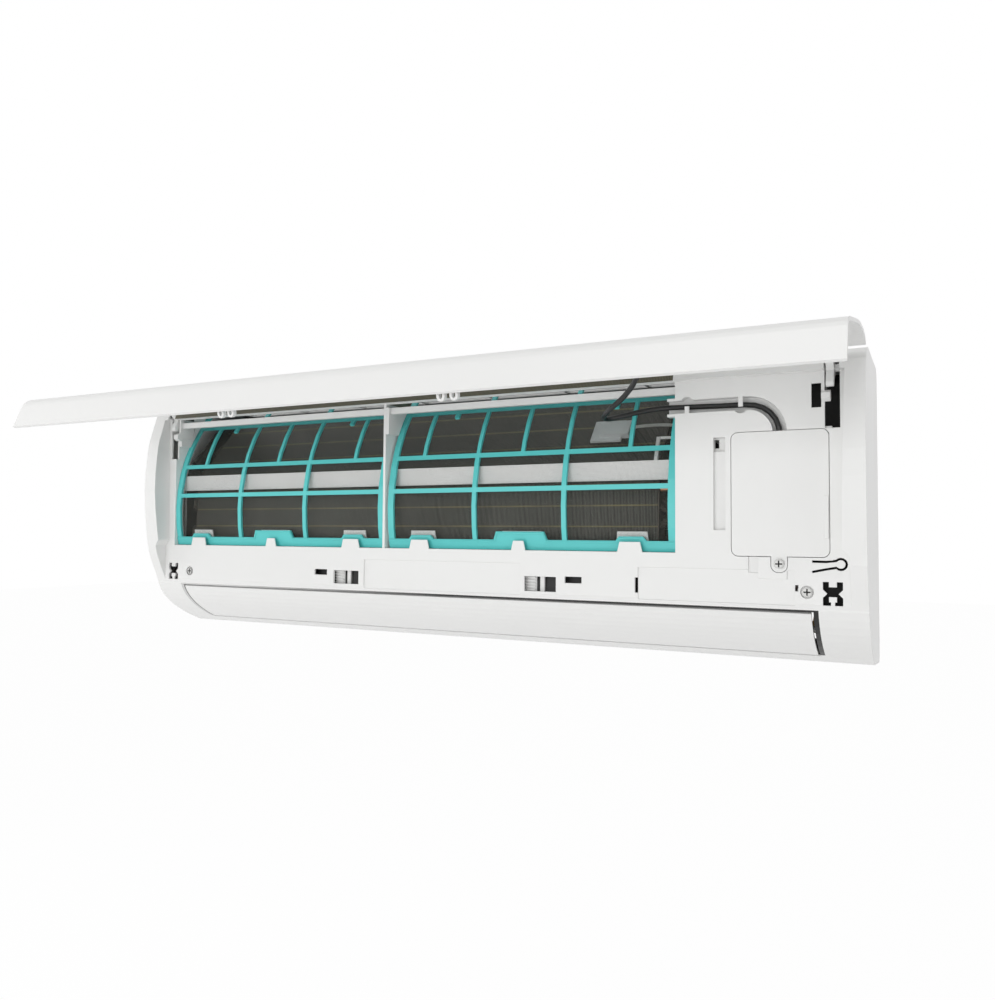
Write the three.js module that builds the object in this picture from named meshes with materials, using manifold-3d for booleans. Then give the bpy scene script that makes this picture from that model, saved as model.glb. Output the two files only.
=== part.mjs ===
// Indoor unit of a split air conditioner, with its front panel open.
// Millimetres. X runs to the viewer's right, Y into the wall, Z up.
// The origin is the centre of the wall plate's back face.
import * as THREE from 'three';
import { mergeVertices } from 'three/addons/utils/BufferGeometryUtils.js';
import Module from 'manifold-3d';

const wasm = await Module();
wasm.setup();

// Driving dimensions
const width = 850;
const height = 298;
const depth = 200;
const panelStandoff = 31;
const rearDrop = 9;
const wall = 2.5;
const seat = 0.3;
const overrun = 1;
const dividerWidth = 3;
const windowLeftMargin = 29.8;
const windowRightMargin = 166.6;
const windowTopMargin = 26;
const windowBottom = 102.3;
const openAngle = THREE.MathUtils.degToRad(78.5);

// Reference planes: back is measured from the fascia towards the wall, up from the front bottom corner
const halfWidth = width / 2;
const wallBack = depth - panelStandoff;
const fasciaY = -wallBack;
const bodyTop = height - rearDrop;
const baseZ = rearDrop - height / 2;
const windowLeft = halfWidth - windowLeftMargin;
const windowRight = halfWidth - windowRightMargin;
const windowTop = bodyTop - windowTopMargin;
const at = (back, up) => [fasciaY + back, baseZ + up];

// Solids
const weld = 1e-4;

function solid(geometry) {
  const bare = geometry.index ? geometry.clone() : geometry;
  bare.deleteAttribute('normal');
  bare.deleteAttribute('uv');
  const merged = mergeVertices(bare, weld);
  return new wasm.Manifold(new wasm.Mesh({
    numProp: 3,
    vertProperties: Float32Array.from(merged.attributes.position.array),
    triVerts: Uint32Array.from(merged.index.array),
  }));
}

const join = (...pieces) => pieces.flat().reduce((sum, piece) => sum.add(piece));
const cut = (piece, ...tools) => tools.flat().reduce((rest, tool) => rest.subtract(tool), piece);

const alongX = new THREE.Matrix4().makeBasis(
  new THREE.Vector3(0, 1, 0), new THREE.Vector3(0, 0, 1), new THREE.Vector3(1, 0, 0));
const alongFront = new THREE.Matrix4().makeBasis(
  new THREE.Vector3(1, 0, 0), new THREE.Vector3(0, 0, 1), new THREE.Vector3(0, -1, 0));

function extrude(shape, length, steps = {}) {
  return new THREE.ExtrudeGeometry(shape, { depth: length, bevelEnabled: false, curveSegments: 4, ...steps });
}

const outline = (points) => new THREE.Shape(points.map(([a, b]) => new THREE.Vector2(a, b)));

// A side profile of (y, z) points, run from x0 to x1
function profile(points, x0, x1) {
  const shape = points instanceof THREE.Shape ? points : outline(points);
  const geometry = extrude(shape, x1 - x0).applyMatrix4(alongX);
  return solid(geometry.translate(x0, 0, 0));
}

// A front view of (x, z) points, run from the plane backFrom to backTo behind the fascia
function facing(shape, backFrom, backTo) {
  const drawn = shape instanceof THREE.Shape ? shape : outline(shape);
  const geometry = extrude(drawn, backTo - backFrom).applyMatrix4(alongFront);
  return solid(geometry.translate(0, fasciaY + backTo, baseZ));
}

// A plan of (x, y) points, run from up0 to up1
function standing(shape, up0, up1) {
  return solid(extrude(shape, up1 - up0).translate(0, 0, baseZ + up0));
}

function block(x0, x1, back0, back1, up0, up1) {
  const geometry = new THREE.BoxGeometry(x1 - x0, back1 - back0, up1 - up0);
  return solid(geometry.translate((x0 + x1) / 2, fasciaY + (back0 + back1) / 2, baseZ + (up0 + up1) / 2));
}

function rodX(radius, x0, x1, back, up, sides = 16) {
  const geometry = new THREE.CylinderGeometry(radius, radius, x1 - x0, sides).rotateZ(Math.PI / 2);
  return solid(geometry.translate((x0 + x1) / 2, fasciaY + back, baseZ + up));
}

function rodY(radius, x, up, back0, back1, sides = 16) {
  const geometry = new THREE.CylinderGeometry(radius, radius, back1 - back0, sides);
  return solid(geometry.translate(x, fasciaY + (back0 + back1) / 2, baseZ + up));
}

function revolveX(points, back, up, sides = 32) {
  const lathe = new THREE.LatheGeometry(points.map(([r, h]) => new THREE.Vector2(r, h)), sides);
  return solid(lathe.rotateZ(-Math.PI / 2).translate(0, fasciaY + back, baseZ + up));
}

function tube(points, radius, sides, steps) {
  const ring = new THREE.Shape();
  ring.absarc(0, 0, radius, 0, 2 * Math.PI, false);
  const path = new THREE.CatmullRomCurve3(points.map((p) => new THREE.Vector3(...p)), false, 'centripetal');
  return solid(new THREE.ExtrudeGeometry(ring, { steps, bevelEnabled: false, curveSegments: sides, extrudePath: path }));
}

const mirrored = (piece) => piece.mirror([1, 0, 0]);
const bothSides = (piece) => piece.add(mirrored(piece));

function roundedRect(x0, x1, z0, z1, radius) {
  const shape = new THREE.Shape();
  shape.moveTo(x0 + radius, z0);
  shape.lineTo(x1 - radius, z0);
  shape.absarc(x1 - radius, z0 + radius, radius, -Math.PI / 2, 0, false);
  shape.lineTo(x1, z1 - radius);
  shape.absarc(x1 - radius, z1 - radius, radius, 0, Math.PI / 2, false);
  shape.lineTo(x0 + radius, z1);
  shape.absarc(x0 + radius, z1 - radius, radius, Math.PI / 2, Math.PI, false);
  shape.lineTo(x0, z0 + radius);
  shape.absarc(x0 + radius, z0 + radius, radius, Math.PI, 1.5 * Math.PI, false);
  return shape;
}

// Moves each point of an open line to its left by a distance
function offsetLine(points, distance) {
  return points.map((point, i) => {
    const before = points[Math.max(i - 1, 0)];
    const after = points[Math.min(i + 1, points.length - 1)];
    const run = [after[0] - before[0], after[1] - before[1]];
    const length = Math.hypot(...run);
    return [point[0] - run[1] / length * distance, point[1] + run[0] / length * distance];
  });
}

// Scene graph
const unit = new THREE.Group();
const white = { color: 0xf0f0ee, roughness: 0.42, metalness: 0 };
const innerWhite = { color: 0xe6e6e2, roughness: 0.5, metalness: 0 };
const turquoise = { color: 0x58c6c4, roughness: 0.4, metalness: 0 };
const netDark = { color: 0x55564f, roughness: 0.8, metalness: 0, transparent: true, opacity: 0.55 };
const aluminium = { color: 0x9a9c98, roughness: 0.45, metalness: 0.8 };
const copper = { color: 0xb87346, roughness: 0.35, metalness: 0.9 };
const brass = { color: 0xc9a450, roughness: 0.35, metalness: 0.9 };
const steel = { color: 0xb9bcbf, roughness: 0.4, metalness: 0.9 };
const zincSheet = { color: 0xa5abb0, roughness: 0.5, metalness: 0.7 };
const blackPlastic = { color: 0x1f1f20, roughness: 0.5, metalness: 0 };
const blackRubber = { color: 0x1b1b1b, roughness: 0.65, metalness: 0 };
const fanGrey = { color: 0x5f6468, roughness: 0.5, metalness: 0 };
const boardGreen = { color: 0x2e6b3f, roughness: 0.5, metalness: 0 };
const wireBlack = { color: 0x18181a, roughness: 0.45, metalness: 0 };
const wireGrey = { color: 0xc9cac6, roughness: 0.5, metalness: 0 };
const clearPlastic = { color: 0xdfe2e2, roughness: 0.3, metalness: 0, transparent: true, opacity: 0.75 };

function part(name, piece, finish, parent = unit) {
  const mesh = piece.getMesh();
  const geometry = new THREE.BufferGeometry();
  geometry.setAttribute('position', new THREE.BufferAttribute(Float32Array.from(mesh.vertProperties), 3));
  geometry.setIndex(new THREE.BufferAttribute(Uint32Array.from(mesh.triVerts), 1));
  geometry.computeVertexNormals();
  const node = new THREE.Mesh(geometry, new THREE.MeshStandardMaterial(finish));
  node.name = name;
  node.position.copy(parent.userData.offset ?? new THREE.Vector3());
  parent.add(node);
  return node;
}

// A group that turns about a line along X; its pieces are still modelled in the unit's own frame
function turning(back, up, angle) {
  const [y, z] = at(back, up);
  const group = new THREE.Group();
  group.position.set(0, y, z);
  group.rotation.x = angle;
  group.userData.offset = new THREE.Vector3(0, -y, -z);
  unit.add(group);
  return group;
}

// Casing profile: rim, lower surround, bottom and top
const rimBulge = 23.5;
const rimTopDrop = 25.6;
const rimTop = bodyTop - rimTopDrop;
const stepUp = 54.8;
const stepDrop = 1.8;
const lowerReach = 74;
const rearCoverDepth = 19;
const frameBack = wallBack - rearCoverDepth;
const topFrontBack = 22;
const topFall = 3.5;
const topFrontUp = bodyTop - topFall;
const rimShares = [
  [-0.07, 0], [0.11, 0.05], [0.42, 0.127], [0.66, 0.2], [0.8, 0.3], [0.95, 0.447],
  [1, 0.594], [0.9, 0.742], [0.78, 0.841], [0.65, 0.892], [0.34, 1],
];
const rimSteps = 14;
const topRoundSteps = 4;
const topRoundShares = [-0.2, 0.82];
const lowerBendShares = [0.165, 0.45];
const lowerSteps = 8;

const rimCurve = new THREE.SplineCurve(rimShares.map(([forward, up]) => new THREE.Vector2(
  -forward * rimBulge, stepUp + up * (rimTop - stepUp))));
const rimLine = rimCurve.getPoints(rimSteps).map((p) => [p.x, p.y]);

const topRound = new THREE.QuadraticBezierCurve(
  new THREE.Vector2(-rimShares.at(-1)[0] * rimBulge, rimTop),
  new THREE.Vector2(topRoundShares[0] * topFrontBack, rimTop + topRoundShares[1] * (topFrontUp - rimTop)),
  new THREE.Vector2(topFrontBack, topFrontUp),
).getPoints(topRoundSteps).slice(1).map((p) => [p.x, p.y]);

const lowerTop = stepUp - stepDrop;
const lowerBack = -rimShares[0][0] * rimBulge;
const lowerCurve = new THREE.QuadraticBezierCurve(
  new THREE.Vector2(lowerBack, lowerTop),
  new THREE.Vector2(lowerBendShares[0] * lowerReach, lowerBendShares[1] * lowerTop),
  new THREE.Vector2(lowerReach, 0));

function lowerLine(from, to, steps) {
  return Array.from({ length: steps + 1 }, (_, i) => {
    const p = lowerCurve.getPoint(from + (to - from) * i / steps);
    return [p.x, p.y];
  });
}

// The casing's outer line from the rear bottom, round the front, to the rear top
const bottomLine = [[frameBack, -rearDrop * (frameBack - lowerReach) / (wallBack - lowerReach)]];
const casingLine = [
  ...bottomLine, ...lowerLine(0, 1, lowerSteps).reverse(), ...rimLine, ...topRound, [frameBack, bodyTop],
];
const placed = (points) => points.map(([back, up]) => at(back, up));

// Filter guides: everything that holds a filter follows arcs about one line behind the unit
const filterRadiusShare = 1.0858;
const filterCentreShare = 0.2541;
const filterTopDrop = 14;
const filterFaceBack = 1;
const filterThick = 3;
const filterSideGap = 0.4;
const filterBottom = windowBottom + seat;
const filterTop = bodyTop - filterTopDrop;
const filterHeight = filterTop - filterBottom;
const filterRadius = filterRadiusShare * filterHeight;
const filterCentreUp = filterBottom + filterCentreShare * filterHeight;
const filterCentreBack = filterFaceBack + filterRadius;
const dividerShift = 3;
const dividerLeft = (windowRight - windowLeft - dividerWidth) / 2 - dividerShift;
const dividerRight = dividerLeft + dividerWidth;
const filterInnerGap = 2.9;
const filterSpans = [
  [-windowLeft + filterSideGap, dividerLeft - filterSideGap],
  [dividerRight + filterInnerGap, windowRight - filterSideGap],
];
const arcSteps = 8;

function filterAngle(up) {
  return Math.asin((up - filterCentreUp) / filterRadius);
}

function arcPoint(radius, angle) {
  return [filterCentreBack - radius * Math.cos(angle), filterCentreUp + radius * Math.sin(angle)];
}

function arcLine(radius, from, to, steps = arcSteps) {
  return Array.from({ length: steps + 1 }, (_, i) => arcPoint(radius, from + (to - from) * i / steps));
}

// A curved strip between two radii, from one height to another, run from x0 to x1
function arcStrip(inner, outer, from, to, x0, x1, steps = arcSteps) {
  return profile(placed([...arcLine(outer, from, to, steps), ...arcLine(inner, to, from, steps)]), x0, x1);
}

// Front frame: end rims, fascia, filter window, outlet surround
const recessUpperMargin = 20;
const recessLowerMargin = 14;
const recessUpper = halfWidth - recessUpperMargin;
const recessLower = halfWidth - recessLowerMargin;
const recessStepLow = 101.5;
const recessStepHigh = 108.5;
const recessLean = 3;
const recessDepth = 60;

function recessShape(grow) {
  const low = recessLower + grow;
  const high = recessUpper + grow;
  const foot = stepUp - grow;
  const head = rimTop + grow;
  return outline([
    [-low, foot], [low, foot], [low, recessStepLow], [high, recessStepHigh], [high + recessLean, head],
    [-high - recessLean, head], [-high, recessStepHigh], [-low, recessStepLow],
  ]);
}

const shellInner = [
  ...offsetLine(casingLine, -wall), [frameBack + overrun, bodyTop - wall], [frameBack + overrun, 0],
];
const casing = profile(placed(casingLine), -halfWidth, halfWidth);
const hollow = cut(
  profile(placed(shellInner), -halfWidth + wall, halfWidth - wall),
  facing(recessShape(wall), -recessDepth, wall));
let frame = cut(casing, facing(recessShape(0), -recessDepth, 0), hollow);

// Window for the filters, with side walls, divider, ledges behind the filters, stay and cross bar
const guideDeep = 10;
const guideTopDrop = 17;
const guideRadius = filterRadius - guideDeep;
const guideTop = bodyTop - guideTopDrop;
const ledgeGap = 0.7;
const ledgeOuter = filterRadius - filterThick - ledgeGap;
const ledgeDeep = 8;
const ledgeInner = filterRadius - ledgeDeep;
const ledgeWidth = 4;
const stayShare = 0.434;
const stayHeight = 19;
const stayThick = 2.5;
const stayLow = windowBottom + stayShare * (windowTop - windowBottom);
const stayHigh = stayLow + stayHeight;
const stayGap = 1.4;
const stayBack = arcPoint(ledgeOuter, filterAngle(stayHigh))[0] + stayGap;
const barDrop = 10.5;
const barHeight = 7;
const barLow = windowTop - barDrop;
const barHigh = barLow + barHeight;
const barBack = 4;
const barThick = 6;

const guideTopAngle = Math.asin((guideTop - filterCentreUp) / guideRadius);
const guideLowAngle = Math.asin((windowBottom - filterCentreUp) / guideRadius);
const guideLine = [
  [0, windowBottom - wall], [0, rimTop + overrun], [barBack, guideTop],
  ...arcLine(guideRadius, guideTopAngle, guideLowAngle),
  [wall, windowBottom], [wall, windowBottom - wall],
];
const guideWall = (x0, x1) => profile(placed(guideLine), x0, x1);
const windowCut = block(-windowLeft, windowRight, -overrun, wall + overrun, windowBottom, windowTop);
const ledge = (x0, x1) => arcStrip(ledgeInner, ledgeOuter,
  filterAngle(windowBottom), filterAngle(guideTop - wall), x0, x1);
const sillBack = 10;
const gussetWidth = 4;
const gussetDrop = 23;
const gussetLow = barLow - gussetDrop;
const gusset = (x) => profile(placed([
  [0, gussetLow], [0, barHigh],
  ...arcLine(filterRadius + 2 * seat, filterAngle(barHigh), filterAngle(gussetLow), 4)]), x - seat, x + gussetWidth);
const wireInset = 24.4;
const wireWidth = 3.5;
const wireThick = 2.5;
const wireRise = 24;
const wireReach = 11.4;
const wireX = windowRight - wireInset;
const wireFoot = stayHigh - wireThick;
const wireTop = stayHigh + wireRise;
const wireBack = stayBack + wireReach;
const sensorGuard = join(
  profile(placed([
    [stayBack + seat, wireFoot], [stayBack + seat + wireThick, wireFoot], [wireBack + wireThick, wireTop],
    [wireBack, wireTop],
  ]), wireX, wireX + wireWidth),
  block(wireX, windowRight + seat, wireBack, wireBack + wireThick, wireTop - wireThick, wireTop));
frame = join(cut(frame, windowCut),
  block(-windowLeft - seat, windowRight + seat, wall / 2, sillBack, windowBottom - wall, windowBottom),
  guideWall(-windowLeft - wall, -windowLeft), guideWall(dividerLeft, dividerRight),
  guideWall(windowRight, windowRight + wall),
  ledge(-windowLeft - seat, -windowLeft + ledgeWidth),
  ledge(dividerLeft - ledgeWidth, dividerRight + ledgeWidth),
  ledge(windowRight - ledgeWidth, windowRight + seat),
  block(-windowLeft - wall, windowRight + wall, stayBack, stayBack + stayThick, stayLow, stayHigh),
  block(-windowLeft - wall, windowRight + wall, barBack, barBack + barThick, barLow, barHigh),
  gusset(-windowLeft), gusset(dividerRight), sensorGuard);

// Hinge pockets at both ends: a slot for the panel's arm between two plates that carry its pin
const pivotBack = 6;
const pivotDrop = 23;
const pivotUp = bodyTop - pivotDrop;
const pinRadius = 3.5;
const pinClear = 0.3;
const slotMargin = 34;
const slotWidth = 12.5;
const slotReach = 53;
const slotBack = 4.5;
const slotInner = halfWidth - slotMargin;
const slotOuter = slotInner + slotWidth;
const slotLow = pivotUp - slotReach;
const pocketOffset = 11;
const pocketWidth = 8.2;
const pocketHeight = 21.4;
const pocketDrop = 34.4;
const pocketInner = slotInner - pocketOffset;
const pocketOuter = pocketInner + pocketWidth;
const pocketLow = pivotUp - pocketDrop;
const pocketHigh = pocketLow + pocketHeight;
const cheekBack = 22;
const cheekDrop = 26;
const cheekRise = 8;
const cheekLow = pivotUp - cheekDrop;
const cheekHigh = pivotUp + cheekRise;
const pegDrop = 24.8;
const pegRadius = 5;
const pegReach = 5;
const pegSides = 6;
const pegUp = pivotUp - pegDrop;
const armRoomBack = 26;
const armRoomDrop = 22;
const armRoomRise = 9;
const armRoomLow = pivotUp - armRoomDrop;
const armRoomHigh = pivotUp + armRoomRise;

const cheekPlate = (x0, x1) => profile(placed([
  [0, cheekLow], [0, rimTop + overrun], [barBack, cheekHigh], [cheekBack, cheekHigh], [cheekBack, cheekLow],
]), x0, x1);
const peg = rodX(pegRadius, slotInner - wall, slotInner + pegReach, 0, pegUp, pegSides);
const hingePocket = join(
  cheekPlate(slotInner - wall, slotInner), cheekPlate(slotOuter, slotOuter + wall), peg);
const hingeCuts = [
  block(slotInner, slotOuter, -recessDepth, slotBack, slotLow, bodyTop + overrun),
  block(slotInner, slotOuter, 0, armRoomBack, armRoomLow, armRoomHigh),
  block(pocketInner, pocketOuter, -overrun, wall + overrun, pocketLow, pocketHigh),
];
const pinHole = rodX(pinRadius + pinClear, slotInner - wall - overrun, slotOuter + wall + overrun,
  pivotBack, pivotUp);
frame = cut(frame, hingeCuts, hingeCuts.map(mirrored));
frame = cut(join(frame, hingePocket, mirrored(hingePocket)), pinHole, mirrored(pinHole));

// Air outlet: opening for the louver flap, end cheeks with its pin holes
const louverFromShare = 0.045;
const louverToShare = 0.825;
const openGapShare = 0.028;
const outletMargin = 45;
const outletHalf = halfWidth - outletMargin;
const louverBack = 29;
const louverUp = 35;
const louverPinRadius = 2.6;
const cheekDepth = 60;
const cheekFootShare = 0.85;
const cheekRoofShare = 0.6;
const roofFrontBack = 5.5;
const roofFrontUp = 57;
const roofRearBack = 52;
const roofRearUp = 98;
const roofPoint = (share, drop) => [
  roofFrontBack + share * (roofRearBack - roofFrontBack),
  roofFrontUp + share * (roofRearUp - roofFrontUp) - drop,
];

const outletBand = [
  ...offsetLine(lowerLine(louverFromShare - openGapShare, louverToShare + openGapShare, lowerSteps), 2 * wall),
  ...offsetLine(lowerLine(louverFromShare - openGapShare, louverToShare + openGapShare, lowerSteps), -wall).reverse(),
];
const outletCheek = (x0, x1) => profile(placed([
  ...offsetLine(lowerLine(0, cheekFootShare, lowerSteps), wall / 2), [cheekDepth, louverUp],
  roofPoint(cheekRoofShare, overrun), roofPoint(0, overrun),
]), x0, x1);
const louverHole = rodX(louverPinRadius + pinClear, outletHalf - overrun, outletHalf + wall + overrun,
  louverBack, louverUp, 16);
const cheek = cut(outletCheek(outletHalf + seat, outletHalf + seat + wall), louverHole);
frame = join(cut(frame, profile(placed(outletBand), -outletHalf, outletHalf)), cheek, mirrored(cheek));

// Opening for the top grille
const grilleMargin = 29;
const grilleFrontMargin = 6;
const grilleRearMargin = 7;
const grilleHalf = halfWidth - grilleMargin;
const grilleFront = topFrontBack + grilleFrontMargin;
const grilleRear = frameBack - grilleRearMargin;
frame = cut(frame, block(-grilleHalf, grilleHalf, grilleFront, grilleRear, guideTop, bodyTop + overrun));

// Latch receivers, slots, shallow recesses and screw seats on the fascia
const receiverShares = [-0.3294, 0.24];
const receiverWidth = 35;
const receiverLefts = receiverShares.map((share) => share * halfWidth);
const receiverFrom = receiverLefts[1];
const receiverLow = 61;
const receiverHigh = 76;
const slotSpacing = 9.5;
const slotLength = 18;
const slotLefts = [receiverLefts[0] - slotSpacing - slotLength, receiverLefts[1] + receiverWidth + slotSpacing];
const slotFoot = 70.4;
const slotHead = 76.8;
const shallow = 1;
const recessSpacing = 4.4;
const centreRecessHalf = receiverFrom - recessSpacing;
const centreRecessLow = 57;
const centreRecessHigh = 89;
const rightRecessMargin = 60;
const rightRecessWidth = 143;
const rightRecessTo = halfWidth - rightRecessMargin;
const rightRecessFrom = rightRecessTo - rightRecessWidth;
const rightRecessLow = 57.5;
const rightRecessHigh = 88;
const notchInset = 14.6;
const notchWidth = 8.8;
const notchFoot = 85.3;
const ledgeUp = 80.3;
const ledgeInset = 48;
const slitWidth = 3;
const slitLow = 63.5;
const slitHigh = 78;
const shortSlitLow = 70;
const shortSlitHigh = 75.5;
const frameScrewMargins = [57.3, 49.9];
const frameScrewXs = [frameScrewMargins[0] - halfWidth, halfWidth - frameScrewMargins[1]];
const frameScrewUp = 69.5;
const screwSeatRadius = 5.7;
const screwSeatDepth = 2.5;
const screwBossRadius = 8.5;
const screwBossDepth = 5.5;
const screwHoleRadius = 2.2;
const clipMargin = 20.6;
const clipWidth = 16.3;
const clipTo = halfWidth - clipMargin;
const clipFrom = clipTo - clipWidth;
const clipLow = 58.5;
const clipHigh = 79;
const clipNipShare = 0.22;
const clipTabHalf = 3.2;
const clipTabHeight = 4.5;
const clipStemHalf = 1.6;
const clipStemHeight = 3;

const through = (x0, x1, up0, up1) => block(x0, x1, -overrun, wall + overrun, up0, up1);
const screwBoss = (x, up) => rodY(screwBossRadius, x, up, wall / 2, screwBossDepth);
const screwSeat = (x, up) => join(
  rodY(screwSeatRadius, x, up, -overrun, screwSeatDepth),
  rodY(screwHoleRadius, x, up, 0, screwBossDepth + overrun, 12));
const clipMid = (clipLow + clipHigh) / 2;
const clipNip = (clipTo - clipFrom) * clipNipShare;
const clipHole = facing(outline([
  [clipFrom, clipLow], [clipTo, clipLow], [clipTo, clipMid - clipNip], [clipTo - clipNip, clipMid],
  [clipTo, clipMid + clipNip], [clipTo, clipHigh], [clipFrom, clipHigh], [clipFrom, clipMid + clipNip],
  [clipFrom + clipNip, clipMid], [clipFrom, clipMid - clipNip],
]), -overrun, wall + overrun);
const clipMidX = (clipFrom + clipTo) / 2;
const clipTabs = join(
  block(clipMidX - clipTabHalf, clipMidX + clipTabHalf, 0, wall, clipHigh - clipTabHeight, clipHigh + seat),
  block(clipMidX - clipTabHalf, clipMidX + clipTabHalf, 0, wall, clipLow + clipStemHeight,
    clipLow + clipStemHeight + clipTabHeight),
  block(clipMidX - clipStemHalf, clipMidX + clipStemHalf, 0, wall, clipLow - seat, clipLow + clipTabHeight));
const clipRoom = cut(clipHole, clipTabs);
frame = join(frame, frameScrewXs.map((x) => screwBoss(x, frameScrewUp)));
frame = cut(frame, frameScrewXs.map((x) => screwSeat(x, frameScrewUp)), clipRoom, mirrored(clipRoom),
  receiverLefts.map((x) => through(x, x + receiverWidth, receiverLow, receiverHigh)),
  slotLefts.map((x) => through(x, x + slotLength, slotFoot, slotHead)),
  block(-centreRecessHalf, centreRecessHalf, -overrun, shallow, centreRecessLow, centreRecessHigh),
  through(rightRecessFrom - slitWidth, rightRecessFrom, slitLow, slitHigh),
  through(rightRecessTo, rightRecessTo + slitWidth, shortSlitLow, shortSlitHigh));

// Opening for the electrical box cover, with the seat of its screw tab and the stepped recess below it
const coverMargin = 31;
const coverWidth = 83.6;
const coverLow = 100.3;
const coverDrop = 50.5;
const coverRight = halfWidth - coverMargin;
const coverLeft = coverRight - coverWidth;
const coverHigh = windowTop - coverDrop;
const coverCorner = 6;
const coverThick = 2.2;
const coverSeam = 0.5;
const tabInset = 34.6;
const tabWidth = 13.7;
const tabLeft = coverLeft + tabInset;
const tabRight = tabLeft + tabWidth;
const tabLow = 86.4;
const tabCorner = 6;
const coverScrewX = (tabLeft + tabRight) / 2;
const coverScrewUp = 93.8;
const tabSeatDepth = 2.5;
const tabBossDepth = 11;

const coverOutline = (grow, depthFrom, depthTo) => join(
  facing(roundedRect(coverLeft - grow, coverRight + grow, coverLow - grow, coverHigh + grow,
    coverCorner + grow), depthFrom, depthTo),
  facing(roundedRect(tabLeft - grow, tabRight + grow, tabLow - grow, coverLow + 2 * coverCorner,
    tabCorner + grow), depthFrom, depthTo));
const steppedRecess = facing(outline([
  [rightRecessFrom, rightRecessLow], [rightRecessTo, rightRecessLow], [rightRecessTo, rightRecessHigh],
  [coverLeft + ledgeInset, rightRecessHigh], [coverLeft + ledgeInset, ledgeUp],
  [coverLeft + notchInset + notchWidth, ledgeUp], [coverLeft + notchInset + notchWidth, notchFoot],
  [coverLeft + notchInset, notchFoot], [coverLeft + notchInset, rightRecessHigh], [rightRecessFrom, rightRecessHigh],
]), -overrun, shallow);
const deepNotch = block(coverLeft + notchInset, coverLeft + notchInset + notchWidth, -overrun, 2 * shallow,
  notchFoot, coverLow);
const coverWindow = facing(roundedRect(coverLeft - coverSeam, coverRight + coverSeam,
  coverLow - coverSeam, coverHigh + coverSeam, coverCorner + coverSeam), -overrun, tabBossDepth + overrun);
const boxLow = coverLow - coverSeam - wall;
const tabBoss = facing(roundedRect(tabLeft - wall, tabRight + wall, tabLow - wall, boxLow - seat,
  tabCorner), wall / 2, tabBossDepth);
frame = cut(join(frame, tabBoss), steppedRecess, deepNotch, coverWindow,
  coverOutline(coverSeam, -overrun, tabSeatDepth),
  rodY(screwHoleRadius, coverScrewX, coverScrewUp, 0, tabBossDepth + overrun, 12));

// Channel that holds the display lead, and the upright groove beside the cover
const channelOverlap = 5.4;
const channelDrop = 29.8;
const channelWidth = 12.3;
const channelBendInset = 14.5;
const channelBendDrop = 22.2;
const channelFrom = windowRight - channelOverlap;
const channelLow = windowTop - channelDrop;
const channelHigh = channelLow + channelWidth;
const channelBendX = coverLeft + channelBendInset;
const channelBendUp = channelLow - channelBendDrop;
const channelDepth = 8.5;
const grooveSpacing = 5.5;
const grooveWidth = 10.8;
const grooveFoot = 23.4;
const grooveHead = 3.5;
const grooveTopHeight = 13;
const grooveRight = coverLeft - grooveSpacing;
const grooveLeft = grooveRight - grooveWidth;
const grooveLow = coverLow + grooveFoot;
const grooveHigh = coverHigh - grooveHead;
const grooveDepth = 3.5;
const grooveTopLow = grooveHigh - grooveTopHeight;
const grooveTopDepth = 7;
const keeperWidth = 4;
const keeperLowInset = 11.2;
const keeperHighInset = 6;
const keeperLowX = windowRight + keeperLowInset;
const keeperHighX = channelBendX - keeperHighInset;
const keeperOverlap = 6.5;
const bulgeRadius = 6.5;
const bulgeInset = 3.5;
const grooveHoleWidth = 4;
const grooveHoleInset = 1.5;
const grooveHoleHeight = 8;

function channelShape(grow) {
  const outer = channelHigh - channelBendUp + grow;
  const inner = channelLow - channelBendUp - grow;
  const shape = new THREE.Shape();
  shape.moveTo(channelFrom - grow, channelHigh + grow);
  shape.lineTo(channelFrom - grow, channelLow - grow);
  shape.lineTo(channelBendX, channelLow - grow);
  shape.absarc(channelBendX, channelBendUp, inner, Math.PI / 2, 0, true);
  shape.lineTo(channelBendX + outer, channelBendUp);
  shape.absarc(channelBendX, channelBendUp, outer, 0, Math.PI / 2, false);
  return shape;
}

const channelBulges = (grow, back0, back1) => [
  rodY(bulgeRadius + grow, keeperLowX, channelHigh - bulgeInset, back0, back1),
  rodY(bulgeRadius + grow, keeperHighX, channelLow + bulgeInset, back0, back1)];
const grooveRect = (grow, up0 = grooveLow) => roundedRect(grooveLeft - grow, grooveRight + grow,
  up0 - grow, grooveHigh + grow, grow + seat);
frame = join(frame, facing(channelShape(wall), wall / 2, channelDepth + wall),
  channelBulges(wall, wall / 2, channelDepth + wall), facing(grooveRect(wall), wall / 2, grooveTopDepth + wall));
frame = cut(frame, facing(channelShape(0), -overrun, channelDepth), channelBulges(0, -overrun, channelDepth),
  coverWindow, facing(grooveRect(0), -overrun, grooveDepth),
  facing(grooveRect(0, grooveTopLow), -overrun, grooveTopDepth),
  block(grooveLeft, grooveLeft + grooveHoleWidth, grooveDepth, grooveTopDepth + wall + overrun,
    grooveHigh - grooveHoleInset - grooveHoleHeight, grooveHigh - grooveHoleInset));
const channelMouth = block(channelFrom - wall - overrun, channelFrom + overrun, -overrun, channelDepth,
  channelLow, channelHigh);
frame = cut(frame, channelMouth);
frame = join(frame,
  block(keeperLowX - keeperWidth / 2, keeperLowX + keeperWidth / 2, 0, coverThick,
    channelLow - overrun, channelLow + keeperOverlap),
  block(keeperHighX - keeperWidth / 2, keeperHighX + keeperWidth / 2, 0, coverThick,
    channelHigh - keeperOverlap - wall, channelHigh + overrun));

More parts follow.
